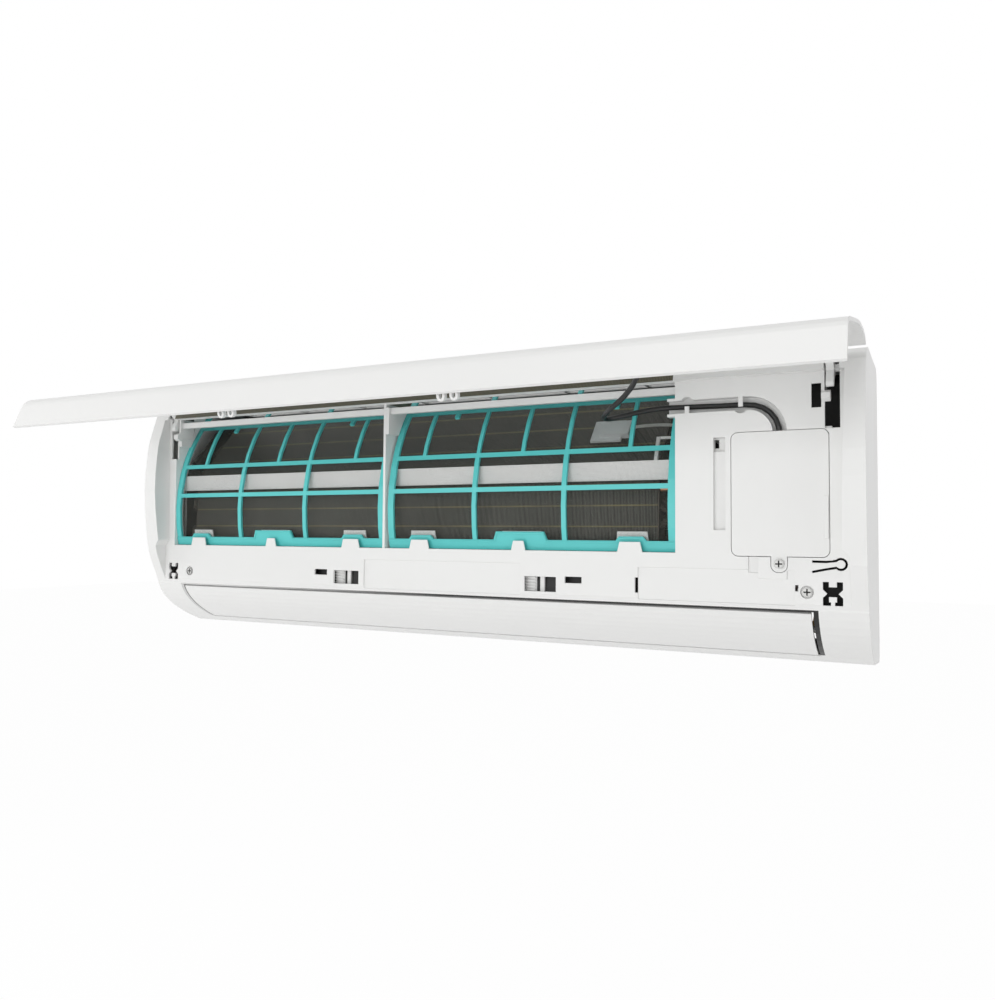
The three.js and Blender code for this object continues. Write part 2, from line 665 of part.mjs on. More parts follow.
// Hairpin slot that frees a springy tongue beside the cover
const hairpinOffset = 8.9;
const hairpinDrop = 5.9;
const hairpinRadius = 4.7;
const hairpinSlit = 2;
const hairpinLength = 23.4;
const hairpinUpperFlares = [1.9, 2.1];
const hairpinLowerFlares = [4.5, 7.1];
const hairpinMouth = 140;
const hairpinSteps = 12;
const hairpinX = coverRight + hairpinOffset;
const hairpinUp = coverLow - hairpinDrop;
const hairpinRing = Array.from({ length: hairpinSteps + 1 }, (_, i) => {
  const angle = THREE.MathUtils.degToRad(hairpinMouth * (1 - 2 * i / hairpinSteps));
  return [hairpinX + hairpinRadius * Math.cos(angle), hairpinUp + hairpinRadius * Math.sin(angle)];
});
const hairpinLine = [
  [hairpinX - hairpinLength, hairpinUp + hairpinUpperFlares[1]],
  [hairpinX - hairpinLength / 2, hairpinUp + hairpinUpperFlares[0]], ...hairpinRing,
  [hairpinX - hairpinLength / 2, hairpinUp - hairpinLowerFlares[0]],
  [hairpinX - hairpinLength, hairpinUp - hairpinLowerFlares[1]],
];
frame = cut(frame, facing(outline([...offsetLine(hairpinLine, hairpinSlit / 2),
  ...offsetLine(hairpinLine, -hairpinSlit / 2).reverse()]), -overrun, wall + overrun));

// Tongues that stand up in front of each filter's lip, and tabs behind the filter that it rests against
const tongueShares = [0.13, 0.498, 0.864];
const tongueWidths = [25.5, 16.5, 25.5];
const tongueHeight = 9.7;
const tongueSlant = 2.5;
const tongueThick = 1.2;
const tabWidths = [36, 50, 36];
const tabHeight = 19.7;
const tabSlant = 3;
const tabDeepFrom = 4.9;
const tabDeepTo = 6.3;
const tabFootRise = 1.3;

const onFilter = ([left, right], share) => left + share * (right - left);

function trapezoid(middle, footWidth, slant, foot, top) {
  const half = footWidth / 2;
  return outline([[middle - half, foot], [middle + half, foot], [middle + half - slant, top],
    [middle - half + slant, top]]);
}

function filterStops(span) {
  return tongueShares.flatMap((share, index) => {
    const middle = onFilter(span, share);
    const x0 = middle - tabWidths[index] / 2;
    const x1 = middle + tabWidths[index] / 2;
    const tabFoot = windowBottom - tabFootRise;
    const tabTop = windowBottom + tabHeight;
    const sheet = arcStrip(filterRadius - tabDeepTo, filterRadius - tabDeepFrom,
      filterAngle(tabFoot - tabFootRise), filterAngle(tabTop), x0, x1, 3);
    const tabBack = arcPoint(filterRadius - tabDeepTo, filterAngle(windowBottom))[0];
    return [
      facing(trapezoid(middle, tongueWidths[index], tongueSlant, windowBottom - overrun,
        windowBottom + tongueHeight), 0, tongueThick),
      sheet.intersect(facing(trapezoid(middle, tabWidths[index], tabSlant, tabFoot - 2 * tabFootRise, tabTop), 0,
        2 * sillBack)),
      block(x0 + tabSlant, x1 - tabSlant, sillBack - overrun, tabBack, tabFoot, windowBottom),
    ];
  });
}

frame = join(frame, filterSpans.flatMap(filterStops));
part('front_frame', frame, white);

// Air filters: curved frames with a stepped lip, bars and ribs, and a net behind them
const filterBar = 5;
const filterSide = 7.2;
const lipHeight = 10.4;
const lipTop = filterBottom + lipHeight;
const stepWidths = [31, 61, 31];
const stepRises = [4.2, 8.5, 4.2];
const stepSlant = 3.5;
const beadInset = 1.2;
const beadWidth = 1.6;
const beadRaise = 0.6;
const barShares = [0.3649, 0.5806, 0.8863];
const barUps = barShares.map((share) => filterBottom + share * filterHeight);
const mainRib = 5;
const upperRib = 4;
const mainRibShares = [0.335, 0.65];
const upperRibShares = [0.127, 0.335, 0.497, 0.65, 0.855];
const hangerShares = [0.217, 0.79];
const hangerSize = 5;
const netThick = 0.6;
const netGap = 0.6;
const netOverlap = 2.5;

// The lip's upper border, with a step over every tongue; inset moves it down and in
function lipBorder(span, inset) {
  const level = lipTop - inset;
  const steps = tongueShares.flatMap((share, index) => {
    const middle = onFilter(span, share);
    const half = stepWidths[index] / 2 - inset / 2;
    return [[middle - half, level], [middle - half + stepSlant, level + stepRises[index]],
      [middle + half - stepSlant, level + stepRises[index]], [middle + half, level]];
  });
  return [[span[0], level], ...steps, [span[1], level]];
}

function filterFrame(span) {
  const [left, right] = span;
  const sheet = (outer, from, to, x0, x1, steps) => arcStrip(filterRadius - filterThick, outer,
    filterAngle(from), filterAngle(to), x0, x1, steps);
  const cutZone = (x0, x1, up0, up1) => block(x0, x1, -overrun, filterCentreBack / 2, up0, up1);
  const edges = [lipTop, ...barUps.flatMap((up) => [up - filterBar / 2, up + filterBar / 2]),
    filterTop - filterBar / 2];
  const zones = [];
  for (let i = 0; i < edges.length; i += 2) {
    const upper = edges[i] > barUps[1] && edges[i] < barUps[2];
    const ribs = upper ? upperRibShares : mainRibShares;
    const half = (upper ? upperRib : mainRib) / 2;
    const sides = [left + filterSide, ...ribs.flatMap((share) => [
      onFilter(span, share) - half, onFilter(span, share) + half]), right - filterSide];
    for (let k = 0; k < sides.length; k += 2) {
      zones.push(cutZone(sides[k], sides[k + 1], edges[i], edges[i + 1]));
    }
  }
  const lipHead = lipTop + Math.max(...stepRises);
  const lipShape = facing(outline([[left, 0], [right, 0], ...lipBorder(span, 0).reverse()]),
    -overrun, filterCentreBack / 2);
  const beadShape = facing(outline([...lipBorder(span, beadInset),
    ...lipBorder(span, beadInset + beadWidth).reverse()]), -overrun, filterCentreBack / 2);
  const lip = sheet(filterRadius, filterBottom, lipHead, left, right, 3).intersect(lipShape);
  const bead = sheet(filterRadius + beadRaise, filterBottom, lipHead, left, right, 3).intersect(beadShape);
  const hangers = hangerShares.map((share) => onFilter(span, share)).map((x) => sheet(filterRadius,
    barUps[2] - filterBar / 2 - hangerSize, barUps[2], x - hangerSize / 2, x + hangerSize / 2, 2));
  return join(cut(sheet(filterRadius, filterBottom, filterTop, left, right), zones), lip, bead, hangers);
}

function filterNet([left, right]) {
  const outer = filterRadius - filterThick - netGap;
  return arcStrip(outer - netThick, outer, filterAngle(lipTop - netOverlap), filterAngle(filterTop - netOverlap / 2),
    left + filterSide - netOverlap, right - filterSide + netOverlap);
}

['left', 'right'].forEach((side, index) => {
  part(`filter_frame_${side}`, filterFrame(filterSpans[index]), turquoise);
  part(`filter_net_${side}`, filterNet(filterSpans[index]), netDark);
});

// Front panel: a curved shell with two hinge arms and two pairs of latch hooks, modelled closed
const panelFoot = 56.5;
const panelDrop = 31;
const panelHead = bodyTop - panelDrop;
const panelThick = 3;
const panelLipShares = [[0.097, 0], [0.71, 0.0645]];
const panelShares = [
  [0.71, 0.0645], [0.86, 0.083], [0.96, 0.112], [1, 0.16], [1, 0.35], [1, 0.54], [0.96, 0.6625],
  [0.871, 0.787], [0.726, 0.9156], [0.468, 1],
];
const panelSteps = 14;
const armInset = 1.5;
const armWidth = 6.5;
const armBoss = 7;
const armFootDrop = 18;
const armFootShare = 0.661;
const armHeadShare = 0.439;
const lobeReach = 12;
const lobeDrop = 11;
const lobeRadius = 3.4;
const armFrom = slotInner + armInset;
const armTo = armFrom + armWidth;
const armFootUp = panelHead - armFootDrop;
const armFootBack = -armFootShare * panelStandoff;
const armHeadBack = -armHeadShare * panelStandoff;
const lobeBack = pivotBack + lobeReach;
const lobeUp = pivotUp - lobeDrop;
const hookInsets = [13.7, 26.1];
const hookHalf = 3.9;
const hookWire = 2.3;
const hookLow = 64.4;
const hookHigh = 68.4;
const hookReach = 5;
const hookRootShare = 0.45;
const hookRoot = -hookRootShare * panelStandoff;
const diagonalShare = Math.SQRT1_2;

const panelPoint = ([forward, up]) => [-forward * panelStandoff, panelFoot + up * (panelHead - panelFoot)];
const panelCurve = new THREE.SplineCurve(panelShares.map((share) => new THREE.Vector2(...panelPoint(share))));
const panelOuter = [panelPoint(panelLipShares[0]), ...panelCurve.getPoints(panelSteps).map((p) => [p.x, p.y])];
const panelShell = profile(placed([...panelOuter, ...offsetLine(panelOuter, -panelThick).reverse()]),
  -halfWidth, halfWidth);
const arm = join(
  profile(placed([
    [armFootBack, armFootUp], [armHeadBack, panelHead], [pivotBack - 2 * overrun, pivotUp + armBoss - seat],
    [pivotBack + 2 * overrun, pivotUp - armBoss + seat],
  ]), armFrom, armTo),
  profile(placed([
    [pivotBack - lobeRadius, pivotUp - lobeRadius], [pivotBack + armBoss - seat, pivotUp],
    [lobeBack + lobeRadius * diagonalShare, lobeUp + lobeRadius * diagonalShare],
    [lobeBack - lobeRadius * diagonalShare, lobeUp - lobeRadius * diagonalShare],
  ]), armFrom, armTo),
  rodX(lobeRadius, armFrom, armTo, lobeBack, lobeUp, 12),
  rodX(armBoss, armFrom, armTo, pivotBack, pivotUp, 16),
  rodX(pinRadius, slotInner - wall + seat, slotOuter + wall - seat, pivotBack, pivotUp, 12));

// A latch hook is an open loop: two legs and a round end, as seen from above
function loopShape(x, half, tip) {
  const shape = new THREE.Shape();
  shape.moveTo(x - half, fasciaY + hookRoot);
  shape.lineTo(x + half, fasciaY + hookRoot);
  shape.absarc(x, fasciaY + tip - half, half, 0, Math.PI, false);
  return shape;
}

const hooks = receiverLefts.flatMap((left) => hookInsets.map((inset) => cut(
  standing(loopShape(left + inset, hookHalf, hookReach), hookLow, hookHigh),
  standing(loopShape(left + inset, hookHalf - hookWire, hookReach - hookWire), hookLow - overrun,
    hookHigh + overrun))));

const panelGroup = turning(pivotBack, pivotUp, -openAngle);
part('front_panel', join(panelShell, bothSides(arm), hooks), white, panelGroup);

// Display module behind the panel, where the lead ends
const displayMargin = 150;
const displayWidth = 60;
const displayLowShare = 0.5732;
const displayHighShare = 0.7122;
const displayDeep = 11;
const displayBackShare = 0.8226;
const displayRight = halfWidth - displayMargin;
const displayLeft = displayRight - displayWidth;
const displayLow = panelFoot + displayLowShare * (panelHead - panelFoot);
const displayHigh = panelFoot + displayHighShare * (panelHead - panelFoot);
const displayBack = -displayBackShare * panelStandoff;
part('display_module', block(displayLeft, displayRight, displayBack, displayBack + displayDeep,
  displayLow, displayHigh), innerWhite, panelGroup);

// Louver flap in the outlet
const flapGap = 1.8;
const flapThick = 3;
const lugInset = 3.8;
const lugThick = 3;
const lugFromShare = 0.3;
const lugToShare = 0.5;
const lugSteps = 3;
const flapHalf = outletHalf - flapGap;
const lugOuter = flapHalf - lugInset;
const lugRadius = 5.5;
const flapLine = lowerLine(louverFromShare, louverToShare, lowerSteps);
const lug = (x0, x1) => join(
  profile(placed([
    ...offsetLine(lowerLine(lugFromShare, lugToShare, lugSteps), flapThick / 2),
    [louverBack + lugRadius * diagonalShare, louverUp - lugRadius * diagonalShare],
    [louverBack - lugRadius * diagonalShare, louverUp + lugRadius * diagonalShare],
  ]), x0, x1),
  rodX(lugRadius, x0, x1, louverBack, louverUp, 16));
const flap = join(
  profile(placed([...flapLine, ...offsetLine(flapLine, flapThick).reverse()]), -flapHalf, flapHalf),
  bothSides(lug(lugOuter - lugThick, lugOuter)),
  bothSides(rodX(louverPinRadius, lugOuter - overrun, outletHalf + wall - seat, louverBack, louverUp, 12)));
part('louver_flap', flap, white);

// Stepper motor that turns the louver, outside the right cheek
const stepperRadius = 12;
const stepperLength = 14;
const stepperShift = 4.5;
const stepperEar = 2;
const stepperFrom = outletHalf + wall + 2 * seat;
const stepperBack = louverBack + stepperShift;
const stepperUp = louverUp + stepperShift;
part('louver_motor', join(
  rodX(stepperRadius, stepperFrom, stepperFrom + stepperLength, stepperBack, stepperUp, 24),
  block(stepperFrom, stepperFrom + stepperEar, stepperBack + stepperShift - 2 * stepperRadius,
    stepperBack + stepperShift + stepperRadius, stepperUp + stepperShift, stepperUp + stepperRadius),
), zincSheet);

// Bulkheads of the rear casing close the fan space at both ends
const leftBulkheadMargin = 22.5;
const rightBulkheadMargin = 166;
const leftBulkhead = -halfWidth + leftBulkheadMargin;
const rightBulkhead = halfWidth - rightBulkheadMargin;

// Duct frame: s runs upstream from the louver's pivot along the floor, n runs down onto the floor
const fanBack = 98;
const fanUp = 128;
const scrollBase = 50;
const scrollGrowth = 0.1355;
const scrollMid = 45;
const scrollFrom = -48;
const scrollTo = 60;
const scrollSteps = 10;
const floorFrontBack = 62;

function scrollPoint(degrees, extra = 0) {
  const radius = scrollBase + (scrollMid - degrees) * scrollGrowth + extra;
  const angle = THREE.MathUtils.degToRad(degrees);
  return [fanBack + radius * Math.cos(angle), fanUp + radius * Math.sin(angle)];
}

const ductAngle = THREE.MathUtils.degToRad(42.2);
const [scrollLowBack, scrollLowUp] = scrollPoint(scrollFrom);
const floorFrontUp = scrollLowUp - (scrollLowBack - floorFrontBack) * Math.tan(ductAngle);
const upstream = [Math.cos(ductAngle), Math.sin(ductAngle)];
const ductPoint = (s, n) => [
  louverBack + s * upstream[0] + n * upstream[1], louverUp + s * upstream[1] - n * upstream[0],
];
const floorAt = (floorFrontBack - louverBack) * upstream[1] - (floorFrontUp - louverUp) * upstream[0];

function ductRod(radius, x, s, n0, n1, sides = 6) {
  const [y, z] = at(...ductPoint(s, (n0 + n1) / 2));
  const rod = new THREE.CylinderGeometry(radius, radius, n1 - n0, sides).rotateX(ductAngle - Math.PI / 2);
  return solid(rod.translate(x, y, z));
}

// Upright vanes that steer the air sideways, in two linked sets
const vaneCount = 8;
const vanesPerLink = 4;
const vaneFirstInset = 45;
const vaneLastInset = 62;
const vaneFront = 40;
const vaneRear = 66;
const vaneTop = -22;
const vaneFoot = 34;
const vaneThick = 1.6;
const vanePivotS = 50;
const vanePinRadius = 2;
const vaneCollar = 4;
const pegS = 62;
const linkPegRadius = 1.5;
const linkTop = -27;
const linkFoot = -24;
const linkFront = 56.5;
const linkRear = 66;
const linkOver = 8;
const linkSlotFront = 58.4;
const linkSlotRear = 63.9;
const linkSlotHalf = 1.8;

const vaneFirst = -outletHalf + vaneFirstInset;
const vanePitch = (rightBulkhead - vaneLastInset - vaneFirst) / (vaneCount - 1);
const vaneXs = Array.from({ length: vaneCount }, (_, i) => vaneFirst + i * vanePitch);
vaneXs.forEach((x, i) => {
  const blade = profile(placed([
    ductPoint(vaneFront, vaneTop), ductPoint(vaneRear, vaneTop), ductPoint(vaneRear, vaneFoot),
    ductPoint(vaneFront, vaneFoot),
  ]), x - vaneThick / 2, x + vaneThick / 2);
  part(`vane_${i + 1}`, join(blade,
    ductRod(vanePinRadius, x, vanePivotS, vaneFoot - overrun, floorAt + wall - seat),
    ductRod(vaneCollar, x, vanePivotS, vaneFoot - overrun, floorAt - seat),
    ductRod(linkPegRadius, x, pegS, linkTop - overrun, vaneTop + overrun, 6)), white);
});

['left', 'right'].forEach((side, set) => {
  const xs = vaneXs.slice(set * vanesPerLink, (set + 1) * vanesPerLink);
  const bar = profile(placed([
    ductPoint(linkFront, linkTop), ductPoint(linkRear, linkTop), ductPoint(linkRear, linkFoot),
    ductPoint(linkFront, linkFoot),
  ]), xs[0] - linkOver, xs.at(-1) + linkOver);
  const slots = xs.map((x) => profile(placed([
    ductPoint(linkSlotFront, linkTop - overrun), ductPoint(linkSlotRear, linkTop - overrun),
    ductPoint(linkSlotRear, linkFoot + overrun), ductPoint(linkSlotFront, linkFoot + overrun),
  ]), x - linkSlotHalf, x + linkSlotHalf));
  part(`vane_link_${side}`, cut(bar, slots), white);
});

// Cross-flow fan on its shaft, motor at the right, bearing at the left
const fanLeftGap = 17.5;
const fanRightGap = 13;
const fanFrom = leftBulkhead + fanLeftGap;
const fanTo = rightBulkhead - fanRightGap;
const fanRadius = 44;
const fanDiscs = 3;
const discThick = 3;
const discRadius = 43;
const bladeCount = 16;
const bladeThick = 1.6;
const bladeDepth = 10;
const bladeTwist = 0.6;
const shaftRadius = 4;
const motorLength = 53.2;
const motorRadius = 42.5;
const bearingRadius = 9;
const bearingLength = 12;
const bearingInset = 6.5;
const motorFrom = rightBulkhead + wall + seat;
const motorTo = motorFrom + motorLength;
const bearingTo = leftBulkhead + bearingInset;
const bearingFrom = bearingTo - bearingLength;

const fanDisc = (x) => cut(rodX(discRadius, x, x + discThick, fanBack, fanUp, 24),
  rodX(shaftRadius, x - overrun, x + discThick + overrun, fanBack, fanUp, 16));
const fanBlade = (angle) => {
  const blade = new THREE.BoxGeometry(fanTo - fanFrom, bladeThick, bladeDepth);
  blade.rotateX(bladeTwist).translate(0, 0, fanRadius - bladeDepth / 2).rotateX(angle);
  return solid(blade.translate((fanFrom + fanTo) / 2, fasciaY + fanBack, baseZ + fanUp));
};
const discPitch = (fanTo - fanFrom - discThick) / (fanDiscs - 1);
part('fan_rotor', join(
  ...Array.from({ length: fanDiscs }, (_, i) => fanDisc(fanFrom + i * discPitch)),
  ...Array.from({ length: bladeCount }, (_, i) => fanBlade(2 * Math.PI * i / bladeCount))), fanGrey);
part('fan_shaft', rodX(shaftRadius - seat / 2, bearingFrom + overrun, motorFrom + wall + overrun, fanBack, fanUp, 16),
  steel);
part('fan_bearing', cut(rodX(bearingRadius, bearingFrom, bearingTo, fanBack, fanUp, 24),
  rodX(shaftRadius + seat / 2, bearingFrom - overrun, bearingTo + overrun, fanBack, fanUp, 16)), blackRubber);

const motorRound = 6;
const motorSocket = 6;
part('fan_motor', cut(revolveX([
  [0, motorFrom], [motorRadius - motorRound, motorFrom], [motorRadius, motorFrom + motorRound],
  [motorRadius, motorTo - motorRound], [motorRadius - motorRound, motorTo], [0, motorTo],
], fanBack, fanUp, 24), rodX(shaftRadius, motorFrom - overrun, motorFrom + motorSocket, fanBack, fanUp, 16)),
zincSheet);

const clampInset = 13.2;
const clampWidth = 25;
const clampFrom = motorFrom + clampInset;
const clampTo = clampFrom + clampWidth;
const clampThick = 2.5;
const clampFlange = 14;
const clampRadius = motorRadius + 2 * seat;
const halfRing = (side) => cut(
  rodX(clampRadius + clampThick, clampFrom, clampTo, fanBack, fanUp, 28),
  rodX(clampRadius, clampFrom - overrun, clampTo + overrun, fanBack, fanUp, 28),
  side > 0
    ? block(clampFrom - overrun, clampTo + overrun, fanBack - 2 * motorRadius, fanBack + seat, 0, bodyTop)
    : block(clampFrom - overrun, clampTo + overrun, fanBack - seat, fanBack + 2 * motorRadius, 0, bodyTop));
const clampEar = (back0, up) => block(clampFrom, clampTo, back0, back0 + clampThick,
  up - clampFlange / 2, up + clampFlange / 2);
const earUp = clampRadius + clampFlange / 2;
part('motor_clamp', join(halfRing(-1),
  clampEar(fanBack - seat - clampThick, fanUp + earUp), clampEar(fanBack - seat - clampThick, fanUp - earUp)),
zincSheet);

// Heat exchanger: three fin packs round the fan, between two tube sheets
const coilLeftGap = 26.5;
const coilRightGap = 23;
const coilFrom = leftBulkhead + coilLeftGap;
const coilTo = rightBulkhead - coilRightGap;
const sheetThick = 1.2;
const packThick = 22;
const frontFootBack = 17;
const frontFootUp = 95;
const frontHeadBack = 21.5;
const frontHeadShare = 0.6367;
const frontHeadFall = 16;
const frontHeadUp = frontHeadShare * bodyTop;
const frontRearUp = frontHeadUp - frontHeadFall;
const packGap = 3.5;
const upperFootBack = 22;
const upperFootUp = frontHeadUp + packGap;
const upperHeadBack = 88;
const upperHeadDrop = 25;
const upperHeadUp = bodyTop - upperHeadDrop;
const rearHeadInset = 26;
const rearHeadDrop = 23;
const rearHeadBack = frameBack - rearHeadInset;
const rearHeadUp = bodyTop - rearHeadDrop;
const rearFootBack = frameBack;
const rearFootUp = 196;

// The four corners of a pack: its outer face runs from one point to the other, its thickness to the right
function packCorners(from, to, thick) {
  const inner = offsetLine([from, to], -thick);
  return [from, to, inner[1], inner[0]];
}

const frontPack = [
  [frontFootBack, frontFootUp], [frontHeadBack, frontHeadUp], [frontHeadBack + packThick, frontRearUp],
  [frontFootBack + packThick, frontFootUp],
];
const upperPack = packCorners([upperFootBack, upperFootUp], [upperHeadBack, upperHeadUp], packThick);
const rearPack = packCorners([rearHeadBack, rearHeadUp], [rearFootBack, rearFootUp], packThick);
const packs = { front: frontPack, upper: upperPack, rear: rearPack };

// Tubes in each pack, in two rows; every hairpin bend joins two neighbours
const tubeRadius = 3.5;
const tubePitch = 19;
const tubeRows = [0.27, 0.73];
const tubeMargin = 12;
const bendSides = 3;
const bendSteps = 3;
const bendReachShare = 0.62;

function tubePlaces([outer0, outer1, inner1, inner0], row) {
  const mix = (a, b, t) => [a[0] + (b[0] - a[0]) * t, a[1] + (b[1] - a[1]) * t];
  const start = mix(outer0, inner0, tubeRows[row]);
  const end = mix(outer1, inner1, tubeRows[row]);
  const length = Math.hypot(end[0] - start[0], end[1] - start[1]);
  const count = Math.floor((length - 2 * tubeMargin) / tubePitch) + 1;
  const spare = (length - (count - 1) * tubePitch) / 2;
  return Array.from({ length: count }, (_, i) => mix(start, end, (spare + i * tubePitch) / length));
}

function returnBend(a, b, x, side) {
  const middle = [(a[0] + b[0]) / 2, (a[1] + b[1]) / 2];
  const reach = side * tubePitch * bendReachShare;
  const place = (point, out) => [x + out, ...at(...point)];
  return tube([place(a, 0), place(a, reach / 3), place(middle, reach), place(b, reach / 3), place(b, 0)],
    tubeRadius, bendSides, bendSteps);
}

const rowsOf = (pack) => [0, 1].map((row) => tubePlaces(pack, row));
Object.entries(packs).forEach(([name, corners]) => {
  part(`coil_${name}`, profile(placed(corners), coilFrom, coilTo), aluminium);
});

const bends = { left: [], right: [] };
Object.values(packs).forEach((pack) => rowsOf(pack).forEach((row) => {
  for (let i = 0; i + 1 < row.length; i += 2) {
    bends.left.push(returnBend(row[i], row[i + 1], coilFrom - sheetThick / 2, -1));
  }
  for (let i = 1; i + 1 < row.length; i += 2) {
    bends.right.push(returnBend(row[i], row[i + 1], coilTo + sheetThick / 2, 1));
  }
}));

// Tube sheets follow the packs and reach out to the bulkheads at the top
const sheetFlangeBack = 92;
const sheetFlangeDrop = 8;
const sheetFlangeUp = upperHeadUp - sheetFlangeDrop;
const sheetFlangeSize = 12;
const sheetOutline = [
  frontPack[0], frontPack[1], upperPack[0], upperPack[1], rearPack[0], rearPack[1], rearPack[2], rearPack[3],
  upperPack[2], upperPack[3], frontPack[2], frontPack[3],
];
const flange = (x0, x1) => block(x0, x1, sheetFlangeBack, sheetFlangeBack + sheetFlangeSize,
  sheetFlangeUp, sheetFlangeUp + sheetThick);
part('coil_end_left', join(profile(placed(sheetOutline), coilFrom - sheetThick, coilFrom),
  flange(leftBulkhead + wall + seat, coilFrom), bends.left), copper);
part('coil_end_right', join(profile(placed(sheetOutline), coilTo, coilTo + sheetThick),
  flange(coilTo, rightBulkhead - seat), bends.right), copper);

// Two pipes from the front pack to the wall side, each with a flare nut
const liquidRadius = 3.2;
const gasRadius = 5;
const nutRadius = 9;
const nutLength = 14;
const pipeSides = 4;
const pipeSteps = 14;
const pipeEndMargin = 59;
const pipeEndX = halfWidth - pipeEndMargin;
const pipeStart = coilTo + sheetThick + seat;
const pipeEndInset = 24;
const liquidEndUp = 30;
const gasEndUp = 55;
const pipeStraightShare = 0.24;
const liquidShares = [
  [0.378, 0.254, 0.332], [0.425, 0.373, 0.235], [0.503, 0.714, 0.156], [0.72, 0.937, 0.118],
  [0.876, 1, 0.1038],
];
const gasShares = [
  [0.386, 0.238, 0.519], [0.44, 0.27, 0.3875], [0.487, 0.397, 0.263], [0.573, 0.73, 0.2076],
  [0.752, 0.952, 0.194], [0.876, 1, 0.1903],
];
const frontRow = tubePlaces(frontPack, 0);
const pipeRun = pipeEndX - pipeStart;
const pipeEndBack = frameBack - pipeEndInset;
const onPipeRun = (shares) => shares.map(([along, back, up]) => [
  pipeStart + along * pipeRun, back * pipeEndBack, up * bodyTop]);
const liquidRoute = [
  [pipeStart, ...frontRow[0]], [pipeStart + pipeStraightShare * pipeRun, ...frontRow[0]],
  ...onPipeRun(liquidShares), [pipeEndX, pipeEndBack, liquidEndUp],
];
const gasStart = frontRow.at(-1);
const gasRoute = [
  [pipeStart, ...gasStart], [pipeStart + pipeStraightShare * pipeRun, ...gasStart],
  ...onPipeRun(gasShares), [pipeEndX, pipeEndBack, gasEndUp],
];
const routed = (route) => route.map(([x, back, up]) => [x, ...at(back, up)]);
const nut = (radius, [end, back, up]) => {
  const x = end + seat;
  return cut(rodX(nutRadius, x, x + nutLength, back, up, 6),
    rodX(radius, x + nutLength / 2, x + nutLength + overrun, back, up, 12));
};
part('liquid_pipe', tube(routed(liquidRoute), liquidRadius, pipeSides, pipeSteps), copper);
part('gas_pipe', tube(routed(gasRoute), gasRadius, pipeSides, pipeSteps), copper);
part('flare_nut_liquid', nut(liquidRadius, liquidRoute.at(-1)), brass);
part('flare_nut_gas', nut(gasRadius, gasRoute.at(-1)), brass);

// Drain pan: roof of the duct below, gutter under the front pack above
const panFrom = leftBulkhead + wall + seat;
const panTo = rightBulkhead - wall + overrun;
const panNoseBack = 7.5;
const panFrontBack = 11;
const panWall = 3;
const gutterUp = 90;
const gutterRearBack = 44;
const gutterRearUp = 93.6;
const panLipUp = 100.5;
const panRearUp = 106;
const noseShare = (panNoseBack - roofFrontBack) / (roofRearBack - roofFrontBack);
part('drain_pan', profile(placed([
  roofPoint(noseShare, 0), roofPoint(1, 0), [roofRearBack + panWall / 2, panRearUp],
  [roofRearBack - panWall / 2, panRearUp], [gutterRearBack + panWall, gutterRearUp + panWall],
  [gutterRearBack, gutterRearUp], [panFrontBack + panWall, gutterUp], [panFrontBack + panWall, panLipUp],
  [panFrontBack, panLipUp], [panFrontBack, gutterUp - panWall],
]), panFrom, panTo), innerWhite);

// Rear casing: back shell, scroll and duct floor, bulkheads, motor cradle, posts, plate slots
const rearFrom = frameBack + seat;
const plateRoom = 8.7;
const rearTo = wallBack - plateRoom;
const rearRound = 9;
const scrollThick = 2.5;
const bulkheadFront = 22;
const bulkheadTop = guideTop;
const bulkheadHead = 90;
const bulkheadShoulderRise = 8.5;
const bulkheadShoulder = upperFootUp + bulkheadShoulderRise;
const bulkheadKnee = 92;
const sweepClear = 1.5;
const flapTip = flapLine.at(-1);
const flapSweep = Math.hypot(flapTip[0] - louverBack, flapTip[1] - louverUp) + sweepClear;
const bulkheadThroatUp = 60;
const pipeHoleGap = 2;
const hangShare = 0.541;
const hangXs = [-hangShare, 0, hangShare].map((share) => share * halfWidth);
const hangHalf = 16;
const hangHeight = 16;
const hangDrop = 37;
const hangLow = bodyTop - hangDrop;
const hangHigh = hangLow + hangHeight;
const postInset = 7.5;
const postTopUp = coverHigh - postInset;
const postLowUp = coverLow - seat + wall + overrun;
const postSize = 10;
const boxBackTo = 50;
const postInsets = [30, 76];
const postXs = postInsets.map((inset) => coverLeft - wall + inset);
const pipeDoorLow = 12;
const pipeDoorHigh = 76;
const pipeDoorMargin = 17;
const pipeDoorWidth = 90;
const pipeDoorTo = halfWidth - pipeDoorMargin;
const pipeDoorFrom = pipeDoorTo - pipeDoorWidth;

const rearBottom = bottomLine[0][1];
const bulkheadEnd = rearTo - wall;
const rearOutline = [
  [rearFrom, rearBottom], [rearTo - rearRound, rearBottom], [rearTo, rearBottom + rearRound],
  [rearTo, bodyTop - rearRound], [rearTo - rearRound, bodyTop], [rearFrom, bodyTop],
];
const rearInside = [
  [frameBack, rearBottom + wall], [rearTo - rearRound, rearBottom + wall], [bulkheadEnd, rearBottom + rearRound],
  [bulkheadEnd, bodyTop - rearRound], [rearTo - rearRound, bodyTop - wall], [frameBack, bodyTop - wall],
];
const rearShell = cut(profile(placed(rearOutline), -halfWidth, halfWidth),
  profile(placed(rearInside), -halfWidth + wall, halfWidth - wall));
const scrollAngles = Array.from({ length: scrollSteps + 1 },
  (_, i) => scrollTo + (scrollFrom - scrollTo) * i / scrollSteps);
const scrollSheet = [
  ...scrollAngles.map((degrees) => scrollPoint(degrees)), [floorFrontBack, floorFrontUp],
  ductPoint((floorFrontBack - louverBack) * upstream[0] + (floorFrontUp - louverUp) * upstream[1],
    floorAt + scrollThick),
  ...scrollAngles.map((degrees) => scrollPoint(degrees, scrollThick)).reverse(),
];
const scroll = profile(placed(scrollSheet), leftBulkhead, rightBulkhead + wall);
